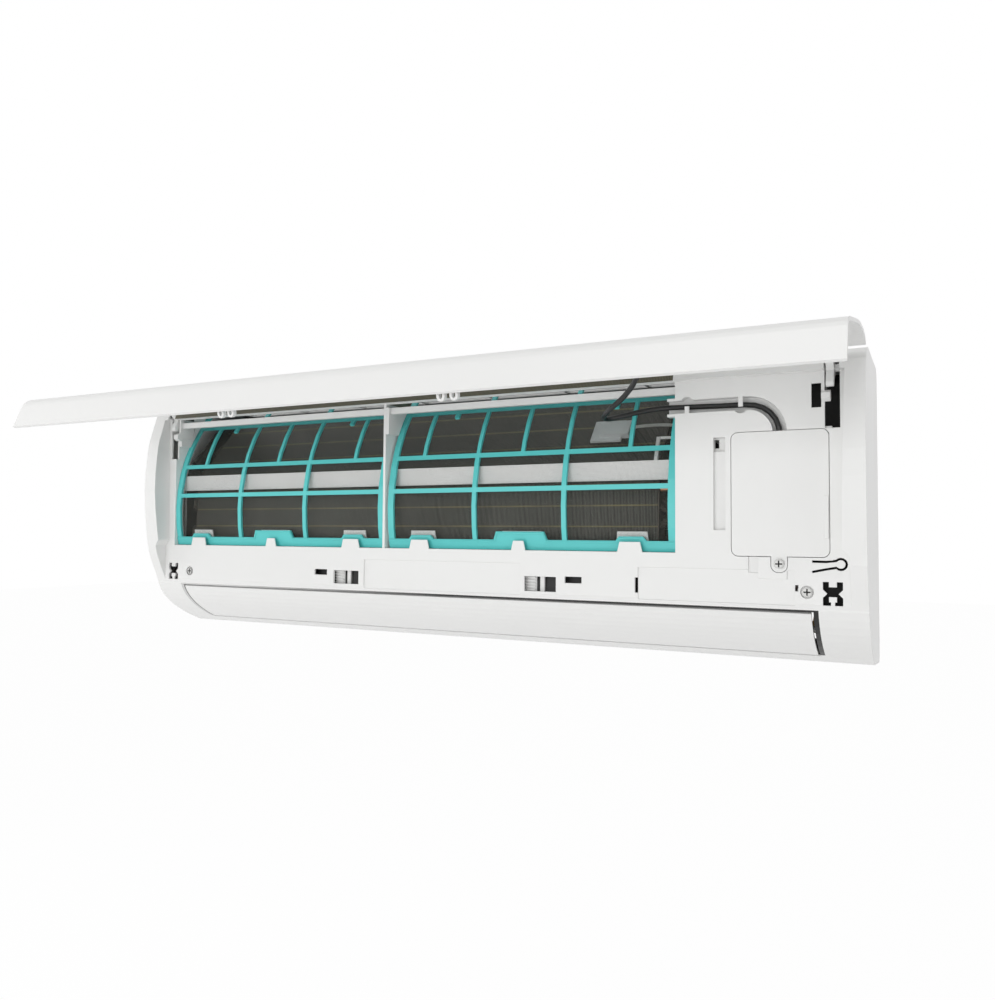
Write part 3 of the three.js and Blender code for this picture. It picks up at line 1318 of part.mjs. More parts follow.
const vaneHoles = vaneXs.map((x) => ductRod(vanePinRadius + seat, x, vanePivotS, floorAt - overrun,
  floorAt + 2 * scrollThick));
const bulkhead = (x0) => profile(placed([
  [bulkheadEnd + overrun, bulkheadFront], [bulkheadEnd + overrun, bulkheadTop], [bulkheadHead, bulkheadTop],
  [bulkheadFront, bulkheadShoulder], [bulkheadFront, bulkheadKnee + wall],
  roofPoint(1, -wall), [louverBack + flapSweep, bulkheadThroatUp], [louverBack + flapSweep, bulkheadFront],
]), x0, x0 + wall);
const pipeHole = (radius, [back, up]) => rodX(radius + pipeHoleGap, rightBulkhead - overrun,
  rightBulkhead + wall + overrun, back, up, 16);
const bearingHole = rodX(bearingRadius + seat, leftBulkhead - overrun, leftBulkhead + wall + overrun,
  fanBack, fanUp, 24);
const shaftHole = rodX(bearingRadius, rightBulkhead - overrun, rightBulkhead + wall + overrun, fanBack, fanUp, 24);
const cradle = join(halfRing(1),
  block(clampFrom, clampTo, fanBack + clampRadius, rearTo - overrun, fanUp - clampFlange, fanUp + clampFlange),
  clampEar(fanBack + seat, fanUp + earUp), clampEar(fanBack + seat, fanUp - earUp));
const posts = postXs.flatMap((x) => [postLowUp, postTopUp].map((up) => block(x, x + postSize,
  boxBackTo + seat, rearTo - overrun, up - postSize, up)));
const hangSlots = hangXs.map((x) => block(x - hangHalf, x + hangHalf, bulkheadEnd - overrun, rearTo + overrun,
  hangLow, hangHigh));
const pipeDoor = block(pipeDoorFrom, pipeDoorTo, bulkheadEnd - overrun, rearTo + overrun, pipeDoorLow, pipeDoorHigh);
part('rear_casing', cut(join(rearShell, scroll, cut(bulkhead(leftBulkhead), bearingHole),
  cut(bulkhead(rightBulkhead), shaftHole, pipeHole(liquidRadius, frontRow[0]), pipeHole(gasRadius, gasStart)),
  cradle, posts), vaneHoles, hangSlots, pipeDoor), white);

// Top grille over the intake
const grilleGap = 0.4;
const grilleThick = 4.5;
const grilleColumns = 8;
const grilleRows = 5;
const grilleBorder = 9;
const grilleBar = 3;
const grilleLug = 5;
const grilleLugShares = [-0.833, -0.278, 0.278, 0.833];
const grilleLugXs = grilleLugShares.map((share) => share * grilleHalf);
const grilleLugHalf = 9;
const grilleLugThick = 2.5;
const grilleX = grilleHalf - grilleGap;
const grilleY0 = grilleFront + grilleGap;
const grilleY1 = grilleRear - grilleGap;
const grilleCellX = (2 * (grilleX - grilleBorder) + grilleBar) / grilleColumns;
const grilleCellY = (grilleY1 - grilleY0 - 2 * grilleBorder + grilleBar) / grilleRows;
const grilleHoles = [];
for (let i = 0; i < grilleColumns; i += 1) {
  for (let k = 0; k < grilleRows; k += 1) {
    const x = -grilleX + grilleBorder + i * grilleCellX;
    const y = grilleY0 + grilleBorder + k * grilleCellY;
    grilleHoles.push(block(x, x + grilleCellX - grilleBar, y, y + grilleCellY - grilleBar,
      topFrontUp - grilleThick - overrun, bodyTop + overrun));
  }
}
const topAt = (back) => topFrontUp + (bodyTop - topFrontUp) * (back - topFrontBack) / (frameBack - topFrontBack);
const grilleSlab = (back0, back1, drop, thick, x0, x1) => profile(placed([
  [back0, topAt(back0) - drop], [back0, topAt(back0) - drop - thick],
  [back1, topAt(back1) - drop - thick], [back1, topAt(back1) - drop]]), x0, x1);
const grilleLugs = grilleLugXs.flatMap((x) => [
  grilleSlab(grilleY0 - grilleLug, grilleY0 + overrun, wall + seat, grilleLugThick, x - grilleLugHalf,
    x + grilleLugHalf),
  grilleSlab(grilleY1 - overrun, grilleY1 + grilleLug, wall + seat, grilleLugThick, x - grilleLugHalf,
    x + grilleLugHalf)]);
part('top_grille', join(cut(grilleSlab(grilleY0, grilleY1, 0, grilleThick, -grilleX, grilleX),
  grilleHoles), grilleLugs), white);

// Wall plate with the three hooks that the unit hangs on
const plateMargin = 75;
const plateLow = 30;
const plateTopDrop = 19;
const plateHalf = halfWidth - plateMargin;
const plateHigh = bodyTop - plateTopDrop;
const plateHeight = plateHigh - plateLow;
const plateThick = 1.5;
const plateHookHalf = 12;
const plateHookRise = 2;
const plateHookHeight = 10;
const plateHookInset = 7.3;
const plateHookUp = hangLow + plateHookRise;
const plateHookTip = plateHookUp + plateHookHeight;
const plateHookBack = rearTo - plateHookInset;
const plateRibShares = [0.167, 0.5, 0.77];
const plateRibHalf = 6;
const plateHoleRadius = 3;
const plateHoleShares = [-0.857, -0.43, 0.43, 0.857];
const plateHoleUpShares = [0.25, 0.875];
const plateFace = wallBack - plateThick;
const plateHooks = hangXs.map((x) => join(
  block(x - plateHookHalf, x + plateHookHalf, plateHookBack, plateFace + overrun / 2, plateHookUp,
    plateHookUp + plateThick),
  block(x - plateHookHalf, x + plateHookHalf, plateHookBack, plateHookBack + plateThick, plateHookUp,
    plateHookTip)));
const plateRib = (up) => block(-plateHalf + plateRibHalf, plateHalf - plateRibHalf, rearTo + seat,
  plateFace + overrun / 2, up - plateRibHalf, up + plateRibHalf);
const plateHoles = plateHoleShares.flatMap((across) => plateHoleUpShares.map((share) => rodY(plateHoleRadius,
  across * plateHalf, plateLow + share * plateHeight, plateFace - overrun, wallBack + overrun, 6)));
part('wall_plate', cut(join(block(-plateHalf, plateHalf, plateFace, wallBack, plateLow, plateHigh),
  plateRibShares.map((share) => plateRib(plateLow + share * plateHeight)), plateHooks), plateHoles), zincSheet);

// Electrical box behind the cover, with its board and terminal block
const boxWall = 2.5;
const boxFrom = coverLeft - boxWall;
const boxTo = coverRight + boxWall;
const boxFront = wall + 2 * seat;
const boxHigh = coverHigh + boxWall;
const leadNotchInset = 31;
const leadNotchWidth = 23;
const leadNotchBack = 13;
const leadNotchFrom = coverLeft + leadNotchInset;
const leadNotchTo = leadNotchFrom + leadNotchWidth;
const boardBack = 40;
const boardThick = 1.6;
const boardInset = 3.5;
const boxShell = cut(block(boxFrom, boxTo, boxFront, boxBackTo, boxLow, boxHigh),
  block(boxFrom + boxWall, boxTo - boxWall, -overrun, boxBackTo - boxWall, boxLow + boxWall, boxHigh - boxWall),
  block(leadNotchFrom, leadNotchTo, -overrun, leadNotchBack, boxHigh - 2 * boxWall, boxHigh + overrun));
const sensorHoleRadius = 3.2;
const sensorEntryBack = 30;
const sensorEntryDrop = 15;
const sensorEntryUp = boxHigh - sensorEntryDrop;
const standoffRadius = 3;
const standoffInset = 9;
const standoffs = [boxFrom + standoffInset, boxTo - standoffInset].flatMap((x) => (
  [boxLow + standoffInset, boxHigh - standoffInset].map((up) => rodY(standoffRadius, x, up,
    boardBack + boardThick + seat, boxBackTo - boxWall / 2, 8))));
const sensorHole = rodX(sensorHoleRadius, boxFrom - overrun, boxFrom + boxWall + overrun, sensorEntryBack,
  sensorEntryUp, 12);
part('electrical_box', join(cut(boxShell, sensorHole), standoffs), white);

const boardLeft = boxFrom + boxWall + boardInset;
const boardRight = boxTo - boxWall - boardInset;
const boardLow = boxLow + boxWall + boardInset;
const boardHigh = boxHigh - boxWall - boardInset;
const canShare = 0.085;
const canHeight = 22;
const relayShare = 0.151;
const relayHeight = 14;
const chokeShare = 0.246;
const boardTall = boardHigh - boardLow;
const canRadius = canShare * boardTall;
const relaySize = relayShare * boardTall;
const chokeSize = chokeShare * boardTall;
const onBoard = boardBack + boardThick / 2;
part('control_board', join(
  block(boardLeft, boardRight, boardBack, boardBack + boardThick, boardLow, boardHigh),
  rodY(canRadius, boardLeft + 2 * canRadius, boardHigh - 2 * canRadius, boardBack - canHeight, onBoard, 16),
  block(boardRight - 2 * relaySize, boardRight - relaySize, boardBack - relayHeight, onBoard,
    boardHigh - 2 * relaySize, boardHigh - relaySize),
  block(boardRight - 2 * relaySize, boardRight - relaySize, boardBack - relayHeight, onBoard,
    boardHigh - 4 * relaySize, boardHigh - 3 * relaySize),
  block(boardLeft + canRadius, boardLeft + canRadius + chokeSize, boardBack - chokeSize, onBoard,
    boardLow + chokeSize, boardLow + 2 * chokeSize)), boardGreen);

const terminalInset = 21.5;
const terminalWidth = 50;
const terminalHeight = 11.4;
const terminalFrom = coverLeft + terminalInset;
const terminalTo = terminalFrom + terminalWidth;
const terminalFront = 24;
const terminalPoles = 4;
const terminalScrew = 3;
const terminalLow = boardLow + seat;
const terminalHigh = terminalLow + terminalHeight;
const terminalPitch = (terminalTo - terminalFrom) / terminalPoles;
const terminalSeats = Array.from({ length: terminalPoles }, (_, i) => rodY(terminalScrew,
  terminalFrom + (i + 1 / 2) * terminalPitch, (terminalLow + terminalHigh) / 2, terminalFront - overrun,
  terminalFront + terminalScrew, 10));
part('terminal_block', cut(block(terminalFrom, terminalTo, terminalFront, boardBack - seat, terminalLow,
  terminalHigh), terminalSeats), blackPlastic);

// Cover of the electrical box, with its raised pad and screw tab
const padInset = 0.6;
const padWidth = 3.7;
const padRise = 16.4;
const padLength = 37;
const padRight = coverRight - padInset;
const padLeft = padRight - padWidth;
const padLow = coverLow + padRise;
const padHigh = padLow + padLength;
const padRaise = 1.2;
part('electrical_box_cover', cut(
  join(coverOutline(0, 0, coverThick), block(padLeft, padRight, -padRaise, overrun, padLow, padHigh)),
  rodY(screwHoleRadius + seat, coverScrewX, coverScrewUp, -overrun, coverThick + overrun, 12)), white);

// Screws: pan heads with a cross recess
const headRadius = 4.6;
const headHeight = 2.6;
const headCrown = 0.9;
const crossWidth = 1.2;
const crossReach = 3;
const crossDepth = 1.6;
const shankRadius = 1.9;

function screw(x, up, face, length) {
  const top = face - headHeight;
  const shape = join(rodY(headRadius, x, up, top + headCrown, face, 12),
    rodY(headRadius - headCrown, x, up, top, top + headCrown + overrun / 2, 12),
    rodY(shankRadius, x, up, face - overrun / 2, face + length, 8));
  return cut(shape,
    block(x - crossReach, x + crossReach, top - overrun, top + crossDepth, up - crossWidth / 2, up + crossWidth / 2),
    block(x - crossWidth / 2, x + crossWidth / 2, top - overrun, top + crossDepth, up - crossReach, up + crossReach));
}

const screwGap = 0.05;
const frameScrewLength = 4;
const coverScrewLength = 10;
part('cover_screw', screw(coverScrewX, coverScrewUp, -screwGap, coverScrewLength), steel);
['left', 'right'].forEach((side, index) => part(`frame_screw_${side}`, screw(
  frameScrewXs[index], frameScrewUp, screwSeatDepth - screwGap, frameScrewLength), steel));

// Air sensor in a clip on the upper pack, with its lead to the box
const clipAlongShare = 0.346;
const clipLength = 30;
const clipBase = 3;
const clipOut = 7;
const clipBaseGap = 46;
const clipBaseWidth = 33;
const clipHeadGap = 38;
const clipHeadWidth = 32;
const clipBaseTo = coilTo - clipBaseGap;
const clipBaseFrom = clipBaseTo - clipBaseWidth;
const clipHeadTo = coilTo - clipHeadGap;
const clipHeadFrom = clipHeadTo - clipHeadWidth;
const clipHeadInset = 5;
const upperRun = [upperHeadBack - upperFootBack, upperHeadUp - upperFootUp];
const upperLength = Math.hypot(...upperRun);
const clipAlong = clipAlongShare * upperLength;
const upperPoint = (along, out) => [
  upperFootBack + (along * upperRun[0] - out * upperRun[1]) / upperLength,
  upperFootUp + (along * upperRun[1] + out * upperRun[0]) / upperLength,
];
const onUpper = (from, to, out0, out1, x0, x1) => profile(placed([
  upperPoint(from, out0), upperPoint(from, out1), upperPoint(to, out1), upperPoint(to, out0)]), x0, x1);
part('sensor_clip', join(
  onUpper(clipAlong, clipAlong + clipLength, seat, clipBase, clipBaseFrom, clipBaseTo),
  onUpper(clipAlong + clipHeadInset, clipAlong + clipLength - clipHeadInset, seat, clipOut, clipHeadFrom,
    clipHeadTo)), clearPlastic);

const sensorLeadRadius = 1.6;
const leadSides = 5;
const sensorLeadEndInset = 5;
const sensorLeadShares = [
  [0.148, 0.075, -0.04], [0.37, 0.221, -0.005], [0.565, 0.319, 0.134], [0.769, 0.708, 0.584], [0.885, 0.951, 0.896],
];
const between = (start, end, shares) => start.map((value, i) => value + shares[i] * (end[i] - value));
const sensorStart = [clipHeadTo + seat, ...upperPoint(clipAlong + clipLength / 2, clipOut - sensorLeadRadius)];
const sensorEnd = [boxFrom + sensorLeadEndInset, sensorEntryBack, sensorEntryUp];
part('sensor_lead', tube(routed([
  sensorStart, ...sensorLeadShares.map((shares) => between(sensorStart, sensorEnd, shares)), sensorEnd,
]), sensorLeadRadius, leadSides - 1, 14), wireGrey);

// Display lead: fixed in the channel, then a free loop to the display module of the opened panel
const leadRadius = 2.5;
const leadBack = 5.4;
const leadBend = 27.3;
const leadRiseShare = 0.553;
const leadEntryBacks = [38, 28, 12];
const leadEntryDrops = [25, 23, 14];
const leadStraightShares = [0.315, 0.78];
const leadX = channelBendX + leadBend;
const leadUp = channelLow + leadRiseShare * channelWidth;
const bendPoint = (degrees) => {
  const angle = THREE.MathUtils.degToRad(degrees);
  return [channelBendX + leadBend * Math.cos(angle), leadBack, channelBendUp + leadBend * Math.sin(angle)];
};
const channelMouthPoint = [channelFrom, leadBack, leadUp];
part('display_lead', tube(routed([
  ...leadEntryBacks.map((back, i) => [leadX, back, boxHigh - leadEntryDrops[i]]),
  bendPoint(0), bendPoint(22), bendPoint(45), bendPoint(68), bendPoint(90),
  ...leadStraightShares.map((share) => between(bendPoint(90), channelMouthPoint, [share, share, share])),
  channelMouthPoint,
]), leadRadius, leadSides, 20), wireBlack);

const leadEndDrop = 6.05;
const leadEndGap = 0.94;
const loopReach = 54.2;
const loopShares = [
  [-0.197, 0.0054, -0.0065], [-0.345, 0.0379, -0.039], [-0.493, 0.0866, -0.0909], [-0.64, 0.1353, -0.1558],
  [-0.779, 0.1949, -0.2338], [-0.899, 0.2693, -0.3052], [-0.982, 0.364, -0.3571], [-1, 0.4723, -0.3636],
  [-0.945, 0.5737, -0.3117], [-0.834, 0.6482, -0.2078], [-0.696, 0.7023, -0.0714], [-0.557, 0.7497, 0.0779],
  [-0.428, 0.8011, 0.2468], [-0.312, 0.8579, 0.4286], [-0.223, 0.9175, 0.6299], [-0.164, 0.9702, 0.8442],
];
const opened = ([back, up]) => [
  pivotBack + (back - pivotBack) * Math.cos(openAngle) + (up - pivotUp) * Math.sin(openAngle),
  pivotUp - (back - pivotBack) * Math.sin(openAngle) + (up - pivotUp) * Math.cos(openAngle),
];
const loopStart = [channelFrom - seat, leadBack, leadUp];
const loopEnd = [(displayLeft + displayRight) / 2,
  ...opened([displayBack + displayDeep + leadEndGap, displayHigh - leadEndDrop])];
const loopRoute = [
  loopStart,
  ...loopShares.map((shares) => [loopStart[0] + shares[0] * loopReach, ...between(loopStart.slice(1), loopEnd.slice(1),
    shares.slice(1))]),
  loopEnd,
];
part('display_lead_loop', tube(routed(loopRoute), leadRadius, leadSides, 16), wireBlack);

export default unit;
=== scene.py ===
import math

import bpy
from mathutils import Matrix, Vector


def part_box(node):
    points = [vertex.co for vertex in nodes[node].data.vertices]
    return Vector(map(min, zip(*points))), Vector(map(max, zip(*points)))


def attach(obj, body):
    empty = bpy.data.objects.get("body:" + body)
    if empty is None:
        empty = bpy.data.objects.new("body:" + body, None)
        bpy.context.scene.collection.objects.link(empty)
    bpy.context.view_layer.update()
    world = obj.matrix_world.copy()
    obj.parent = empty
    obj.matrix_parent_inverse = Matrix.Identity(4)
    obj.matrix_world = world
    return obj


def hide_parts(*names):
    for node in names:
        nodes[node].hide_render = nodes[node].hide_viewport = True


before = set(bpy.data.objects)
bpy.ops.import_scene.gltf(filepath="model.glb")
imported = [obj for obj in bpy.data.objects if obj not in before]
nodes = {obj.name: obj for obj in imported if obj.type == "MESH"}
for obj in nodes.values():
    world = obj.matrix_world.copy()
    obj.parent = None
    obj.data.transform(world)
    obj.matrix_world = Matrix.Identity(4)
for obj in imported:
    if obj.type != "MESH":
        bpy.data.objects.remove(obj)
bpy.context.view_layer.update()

bpy.context.scene.view_settings.view_transform = "Standard"

# The photograph's view: a little below the unit's middle, from its right, about 0.95 m away.
# The angles and the place come from fitting the unit's corners to the photograph.
camera_yaw = math.radians(26.935)
camera_pitch = math.radians(2.304)
camera_roll = math.radians(0.363)
camera_place = Vector((0.4698, -0.9541, -0.0213))
camera_lens = 30.47
camera_film = 36

forward = Vector((
    -math.sin(camera_yaw) * math.cos(camera_pitch),
    math.cos(camera_yaw) * math.cos(camera_pitch),
    math.sin(camera_pitch)))
level_right = Vector((math.cos(camera_yaw), math.sin(camera_yaw), 0))
level_up = level_right.cross(forward)
right = math.cos(camera_roll) * level_right + math.sin(camera_roll) * level_up
up = math.cos(camera_roll) * level_up - math.sin(camera_roll) * level_right
camera_data = bpy.data.cameras.new("view")
camera_data.lens = camera_lens
camera_data.sensor_width = camera_film
camera = bpy.data.objects.new("view", camera_data)
bpy.context.scene.collection.objects.link(camera)
camera.matrix_world = Matrix.Translation(camera_place) @ Matrix((right, up, -forward)).transposed().to_4x4()
bpy.context.scene.camera = camera

# The display lead's free loop: a limp black lead, 5 mm thick and 149 mm long between the end of its
# channel and the display module on the open panel. It sags round in front of the right filter.
# Its route has the points of the CAD tube, in millimetres behind the fascia and above its foot.
fascia_y = -0.169
foot_z = -0.140
millimetre = 0.001
lead_diameter = 0.005
lead_points = [
    (252.7, 5.4, 240), (242.02, 5, 239.8), (234, 2.6, 238.8), (225.98, -1, 237.2),
    (218.01, -4.6, 235.2), (210.48, -9, 232.8), (203.97, -14.5, 230.6), (199.48, -21.5, 229),
    (198.5, -29.5, 228.8), (201.48, -36.99, 230.4), (207.5, -42.5, 233.6), (214.98, -46.5, 237.8),
    (222.51, -50, 242.4), (229.5, -53.8, 247.6), (235.79, -57.99, 253.2), (240.61, -62.4, 259.4),
    (243.81, -66.29, 266.01), (245, -68.5, 270.81),
]


def unit_point(x, back, height):
    """The place of a point given in millimetres: across, behind the fascia and above its foot."""
    return Vector((x * millimetre, fascia_y + back * millimetre, foot_z + height * millimetre))


lead_curve = bpy.data.curves.new("display_lead_free", "CURVE")
lead_curve.dimensions = "3D"
lead_curve.bevel_depth = lead_diameter / 2
lead_curve.bevel_resolution = 5
lead_curve.resolution_u = 8
lead_line = lead_curve.splines.new("BEZIER")
lead_line.bezier_points.add(len(lead_points) - 1)
for knot, place in zip(lead_line.bezier_points, lead_points):
    knot.co = unit_point(*place)
    knot.handle_left_type = "AUTO"
    knot.handle_right_type = "AUTO"
lead_loop = bpy.data.objects.new("display_lead_free", lead_curve)
bpy.context.scene.collection.objects.link(lead_loop)

cloud_detail = 4
grain_detail = 3
grain_height = 0.0002


def finish_nodes(name, surface, colour, metallic=0.0, roughness=0.5):
    """A material whose colour and roughness drift a little, as on moulded or rolled stock."""
    material = bpy.data.materials.new(name)
    material.use_nodes = True
    tree = material.node_tree
    shader = tree.nodes["Principled BSDF"]
    shader.inputs["Metallic"].default_value = metallic
    place = tree.nodes.new("ShaderNodeTexCoord")
    cloud = tree.nodes.new("ShaderNodeTexNoise")
    cloud.inputs["Scale"].default_value = surface["cloud_scale"]
    cloud.inputs["Detail"].default_value = cloud_detail
    tree.links.new(place.outputs["Object"], cloud.inputs["Vector"])
    tint = tree.nodes.new("ShaderNodeMixRGB")
    tint.inputs["Color1"].default_value = (*[channel * surface["dark"] for channel in colour], 1)
    tint.inputs["Color2"].default_value = (*colour, 1)
    tree.links.new(cloud.outputs["Fac"], tint.inputs["Fac"])
    tree.links.new(tint.outputs["Color"], shader.inputs["Base Color"])
    gloss = tree.nodes.new("ShaderNodeMapRange")
    gloss.inputs["To Min"].default_value = roughness - surface["spread"]
    gloss.inputs["To Max"].default_value = roughness + surface["spread"]
    tree.links.new(cloud.outputs["Fac"], gloss.inputs["Value"])
    tree.links.new(gloss.outputs["Result"], shader.inputs["Roughness"])
    grain = tree.nodes.new("ShaderNodeTexNoise")
    grain.inputs["Scale"].default_value = surface["grain_scale"]
    grain.inputs["Detail"].default_value = grain_detail
    tree.links.new(place.outputs["Object"], grain.inputs["Vector"])
    relief = tree.nodes.new("ShaderNodeBump")
    relief.inputs["Strength"].default_value = surface["relief"]
    relief.inputs["Distance"].default_value = grain_height
    tree.links.new(grain.outputs["Fac"], relief.inputs["Height"])
    edge = tree.nodes.new("ShaderNodeBevel")
    edge.inputs["Radius"].default_value = surface["edge"]
    tree.links.new(edge.outputs["Normal"], relief.inputs["Normal"])
    tree.links.new(relief.outputs["Normal"], shader.inputs["Normal"])
    return material


cable_skin = {
    "cloud_scale": 60, "dark": 0.8, "spread": 0.06, "grain_scale": 900, "relief": 0.2, "edge": 0.0002}
lead_black = finish_nodes("lead_black", cable_skin, (0.008, 0.008, 0.008), roughness=0.38)
lead_curve.materials.append(lead_black)
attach(lead_loop, "unit")
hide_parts("display_lead_loop")

# The studio: a pale floor well below the unit, as under a unit hung on a wall, and soft lamps.
# The floor and the world are white to the camera and in glossy reflections, and the floor keeps
# some of the unit's shadow. Everything else is lit by the dimmer room and the lamps.
floor_drop = 1.05
floor_half = 14
floor_grey = (0.9, 0.9, 0.9, 1)
floor_white_share = 0.975
room_white = (1, 1, 1, 1)
room_strength = 0.48


def combine(tree, operation, first, second):
    """The result of a math node. Each input is another node's socket or a plain number."""
    node = tree.nodes.new("ShaderNodeMath")
    node.operation = operation
    for socket, value in zip(node.inputs, (first, second)):
        if isinstance(value, bpy.types.NodeSocket):
            tree.links.new(value, socket)
        else:
            socket.default_value = value
    return node.outputs[0]


def backdrop_share(tree):
    """One for rays from the camera or from a glossy reflection, and nought for all others."""
    path = tree.nodes.new("ShaderNodeLightPath")
    return combine(tree, "MAXIMUM", path.outputs["Is Camera Ray"], path.outputs["Is Glossy Ray"])


bpy.ops.object.select_all(action="DESELECT")
bpy.ops.mesh.primitive_plane_add(size=2 * floor_half, location=(0, 0, -floor_drop))
floor = bpy.context.object
floor.name = "floor"
floor_white = bpy.data.materials.new("floor_white")
floor_white.use_nodes = True
floor_tree = floor_white.node_tree
floor_shader = floor_tree.nodes["Principled BSDF"]
floor_shader.inputs["Base Color"].default_value = floor_grey
floor_shader.inputs["Roughness"].default_value = 0.9
floor_glow = floor_tree.nodes.new("ShaderNodeEmission")
floor_glow.inputs["Strength"].default_value = 1
floor_mix = floor_tree.nodes.new("ShaderNodeMixShader")
floor_share = combine(floor_tree, "MULTIPLY", backdrop_share(floor_tree), floor_white_share)
floor_tree.links.new(floor_share, floor_mix.inputs["Fac"])
floor_tree.links.new(floor_shader.outputs["BSDF"], floor_mix.inputs[1])
floor_tree.links.new(floor_glow.outputs["Emission"], floor_mix.inputs[2])
floor_tree.links.new(floor_mix.outputs["Shader"], floor_tree.nodes["Material Output"].inputs["Surface"])
floor.data.materials.append(floor_white)

world = bpy.data.worlds.new("studio")
bpy.context.scene.world = world
world.use_nodes = True
world_tree = world.node_tree
room = world_tree.nodes["Background"]
room.inputs["Color"].default_value = room_white
room.inputs["Strength"].default_value = room_strength
backdrop = world_tree.nodes.new("ShaderNodeBackground")
backdrop.inputs["Color"].default_value = room_white
backdrop.inputs["Strength"].default_value = 1
world_mix = world_tree.nodes.new("ShaderNodeMixShader")
world_tree.links.new(backdrop_share(world_tree), world_mix.inputs["Fac"])
world_tree.links.new(room.outputs["Background"], world_mix.inputs[1])
world_tree.links.new(backdrop.outputs["Background"], world_mix.inputs[2])
world_tree.links.new(world_mix.outputs["Shader"], world_tree.nodes["World Output"].inputs["Surface"])


def soft_lamp(name, place, aim, size, power):
    """A rectangular lamp that points from its place at its aim."""
    data = bpy.data.lights.new(name, "AREA")
    data.shape = "RECTANGLE"
    data.size = size[0]
    data.size_y = size[1]
    data.energy = power
    lamp = bpy.data.objects.new(name, data)
    bpy.context.scene.collection.objects.link(lamp)
    lamp.location = place
    lamp.rotation_euler = (Vector(aim) - Vector(place)).to_track_quat("-Z", "Y").to_euler()


soft_lamp("front", place=(-0.5, -2.6, 0.1), aim=(0, -0.15, 0), size=(2.4, 1.0), power=19)
soft_lamp("left", place=(-2.4, -0.5, 0.2), aim=(-0.4, -0.1, 0), size=(1.2, 1.2), power=20)
soft_lamp("right", place=(2.3, -0.9, 0.1), aim=(-0.1, -0.15, 0), size=(1.2, 1.0), power=7)
soft_lamp("top", place=(0.2, -1.4, 2.1), aim=(0, -0.2, 0.1), size=(1.6, 1.2), power=12)
soft_lamp("low", place=(0.1, -1.7, -0.9), aim=(0, -0.2, 0.05), size=(1.8, 0.6), power=4)


def dress(material, *names):
    """Give CAD nodes a material in place of their plain one."""
    for name in names:
        mesh = nodes[name].data
        mesh.materials.clear()
        mesh.materials.append(material)


rolled_sheet = {
    "cloud_scale": 45, "dark": 0.8, "spread": 0.09, "grain_scale": 1200, "relief": 0.1, "edge": 0.0003}
zinc_sheet = finish_nodes("zinc_sheet", rolled_sheet, (0.52, 0.54, 0.56), metallic=0.85, roughness=0.42)
dress(zinc_sheet, "wall_plate")

# The rear casing: one white moulding that hooks on the wall plate and carries all the rest.
# Its inner faces round the coil and the fan are painted black as shade, starting half a wall
# inside the outer faces.
smooth_plastic = {
    "cloud_scale": 9, "dark": 0.975, "spread": 0.04, "grain_scale": 2200, "relief": 0.12, "edge": 0.0005}
white_resin = (0.8, 0.8, 0.79)
half_wall = 0.0012
casing_painted_shade = (0.012, 0.012, 0.012)


def object_axes(tree):
    """The three Object coordinates of the shaded point, by their letters."""
    place = tree.nodes.new("ShaderNodeTexCoord")
    axes = tree.nodes.new("ShaderNodeSeparateXYZ")
    tree.links.new(place.outputs["Object"], axes.inputs["Vector"])
    return axes.outputs


def inside_box(tree, spans):
    """One where every named axis lies between its two limits, and nought elsewhere."""
    axes = object_axes(tree)
    share = 1
    for axis, (low, high) in spans.items():
        share = combine(tree, "MULTIPLY", share, combine(tree, "GREATER_THAN", axes[axis], low))
        share = combine(tree, "MULTIPLY", share, combine(tree, "LESS_THAN", axes[axis], high))
    return share


def paint_over(tree, share, colour):
    """Lay a plain colour, or a node's colour, over the skin as far as the share says."""
    shader = tree.nodes["Principled BSDF"]
    coat = tree.nodes.new("ShaderNodeMixRGB")
    tree.links.new(share, coat.inputs["Fac"])
    tree.links.new(shader.inputs["Base Color"].links[0].from_socket, coat.inputs["Color1"])
    if isinstance(colour, bpy.types.NodeSocket):
        tree.links.new(colour, coat.inputs["Color2"])
    else:
        coat.inputs["Color2"].default_value = (*colour, 1)
    tree.links.new(coat.outputs["Color"], shader.inputs["Base Color"])


casing_white = finish_nodes("casing_white", smooth_plastic, white_resin, roughness=0.4)
casing_tree = casing_white.node_tree
casing_low, casing_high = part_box("rear_casing")
casing_shade_spans = {}
for axis, low, high in zip("XYZ", casing_low, casing_high):
    casing_shade_spans[axis] = (low + half_wall, high - half_wall)
# Painted shade: black on the faces inside this box, half a wall within the outer faces.
paint_over(casing_tree, inside_box(casing_tree, casing_shade_spans), casing_painted_shade)
dress(casing_white, "rear_casing")

# The cross-flow fan: dark grey blades of glass-filled plastic between thin discs, on a steel shaft.
# The shaft turns in a rubber bearing on the left, and on the right it sits in the motor, whose
# sheet steel shell a zinc coated clamp holds down on the casing.
fan_grey = finish_nodes("fan_grey", smooth_plastic, (0.06, 0.065, 0.07), roughness=0.5)
plated_steel = {
    "cloud_scale": 320, "dark": 0.72, "spread": 0.08, "grain_scale": 3000, "relief": 0.2, "edge": 0.0003}
bright_steel = finish_nodes("bright_steel", plated_steel, (0.72, 0.72, 0.7), metallic=1, roughness=0.28)
black_rubber = finish_nodes("black_rubber", cable_skin, (0.02, 0.02, 0.02), roughness=0.6)
dress(fan_grey, "fan_rotor")
dress(bright_steel, "fan_shaft")
dress(black_rubber, "fan_bearing")
dress(zinc_sheet, "fan_motor", "motor_clamp")

# The drain pan: a trough under the coil, set in the casing. Its near-black colour is painted
# shade: it lies behind the fascia's slots and makes them look shaded black from outside.
# The pan's near-black is painted shade for the slots in front of it.
pan_painted_shade = finish_nodes("pan_painted_shade", smooth_plastic, (0.012, 0.012, 0.012), roughness=0.6)
dress(pan_painted_shade, "drain_pan")
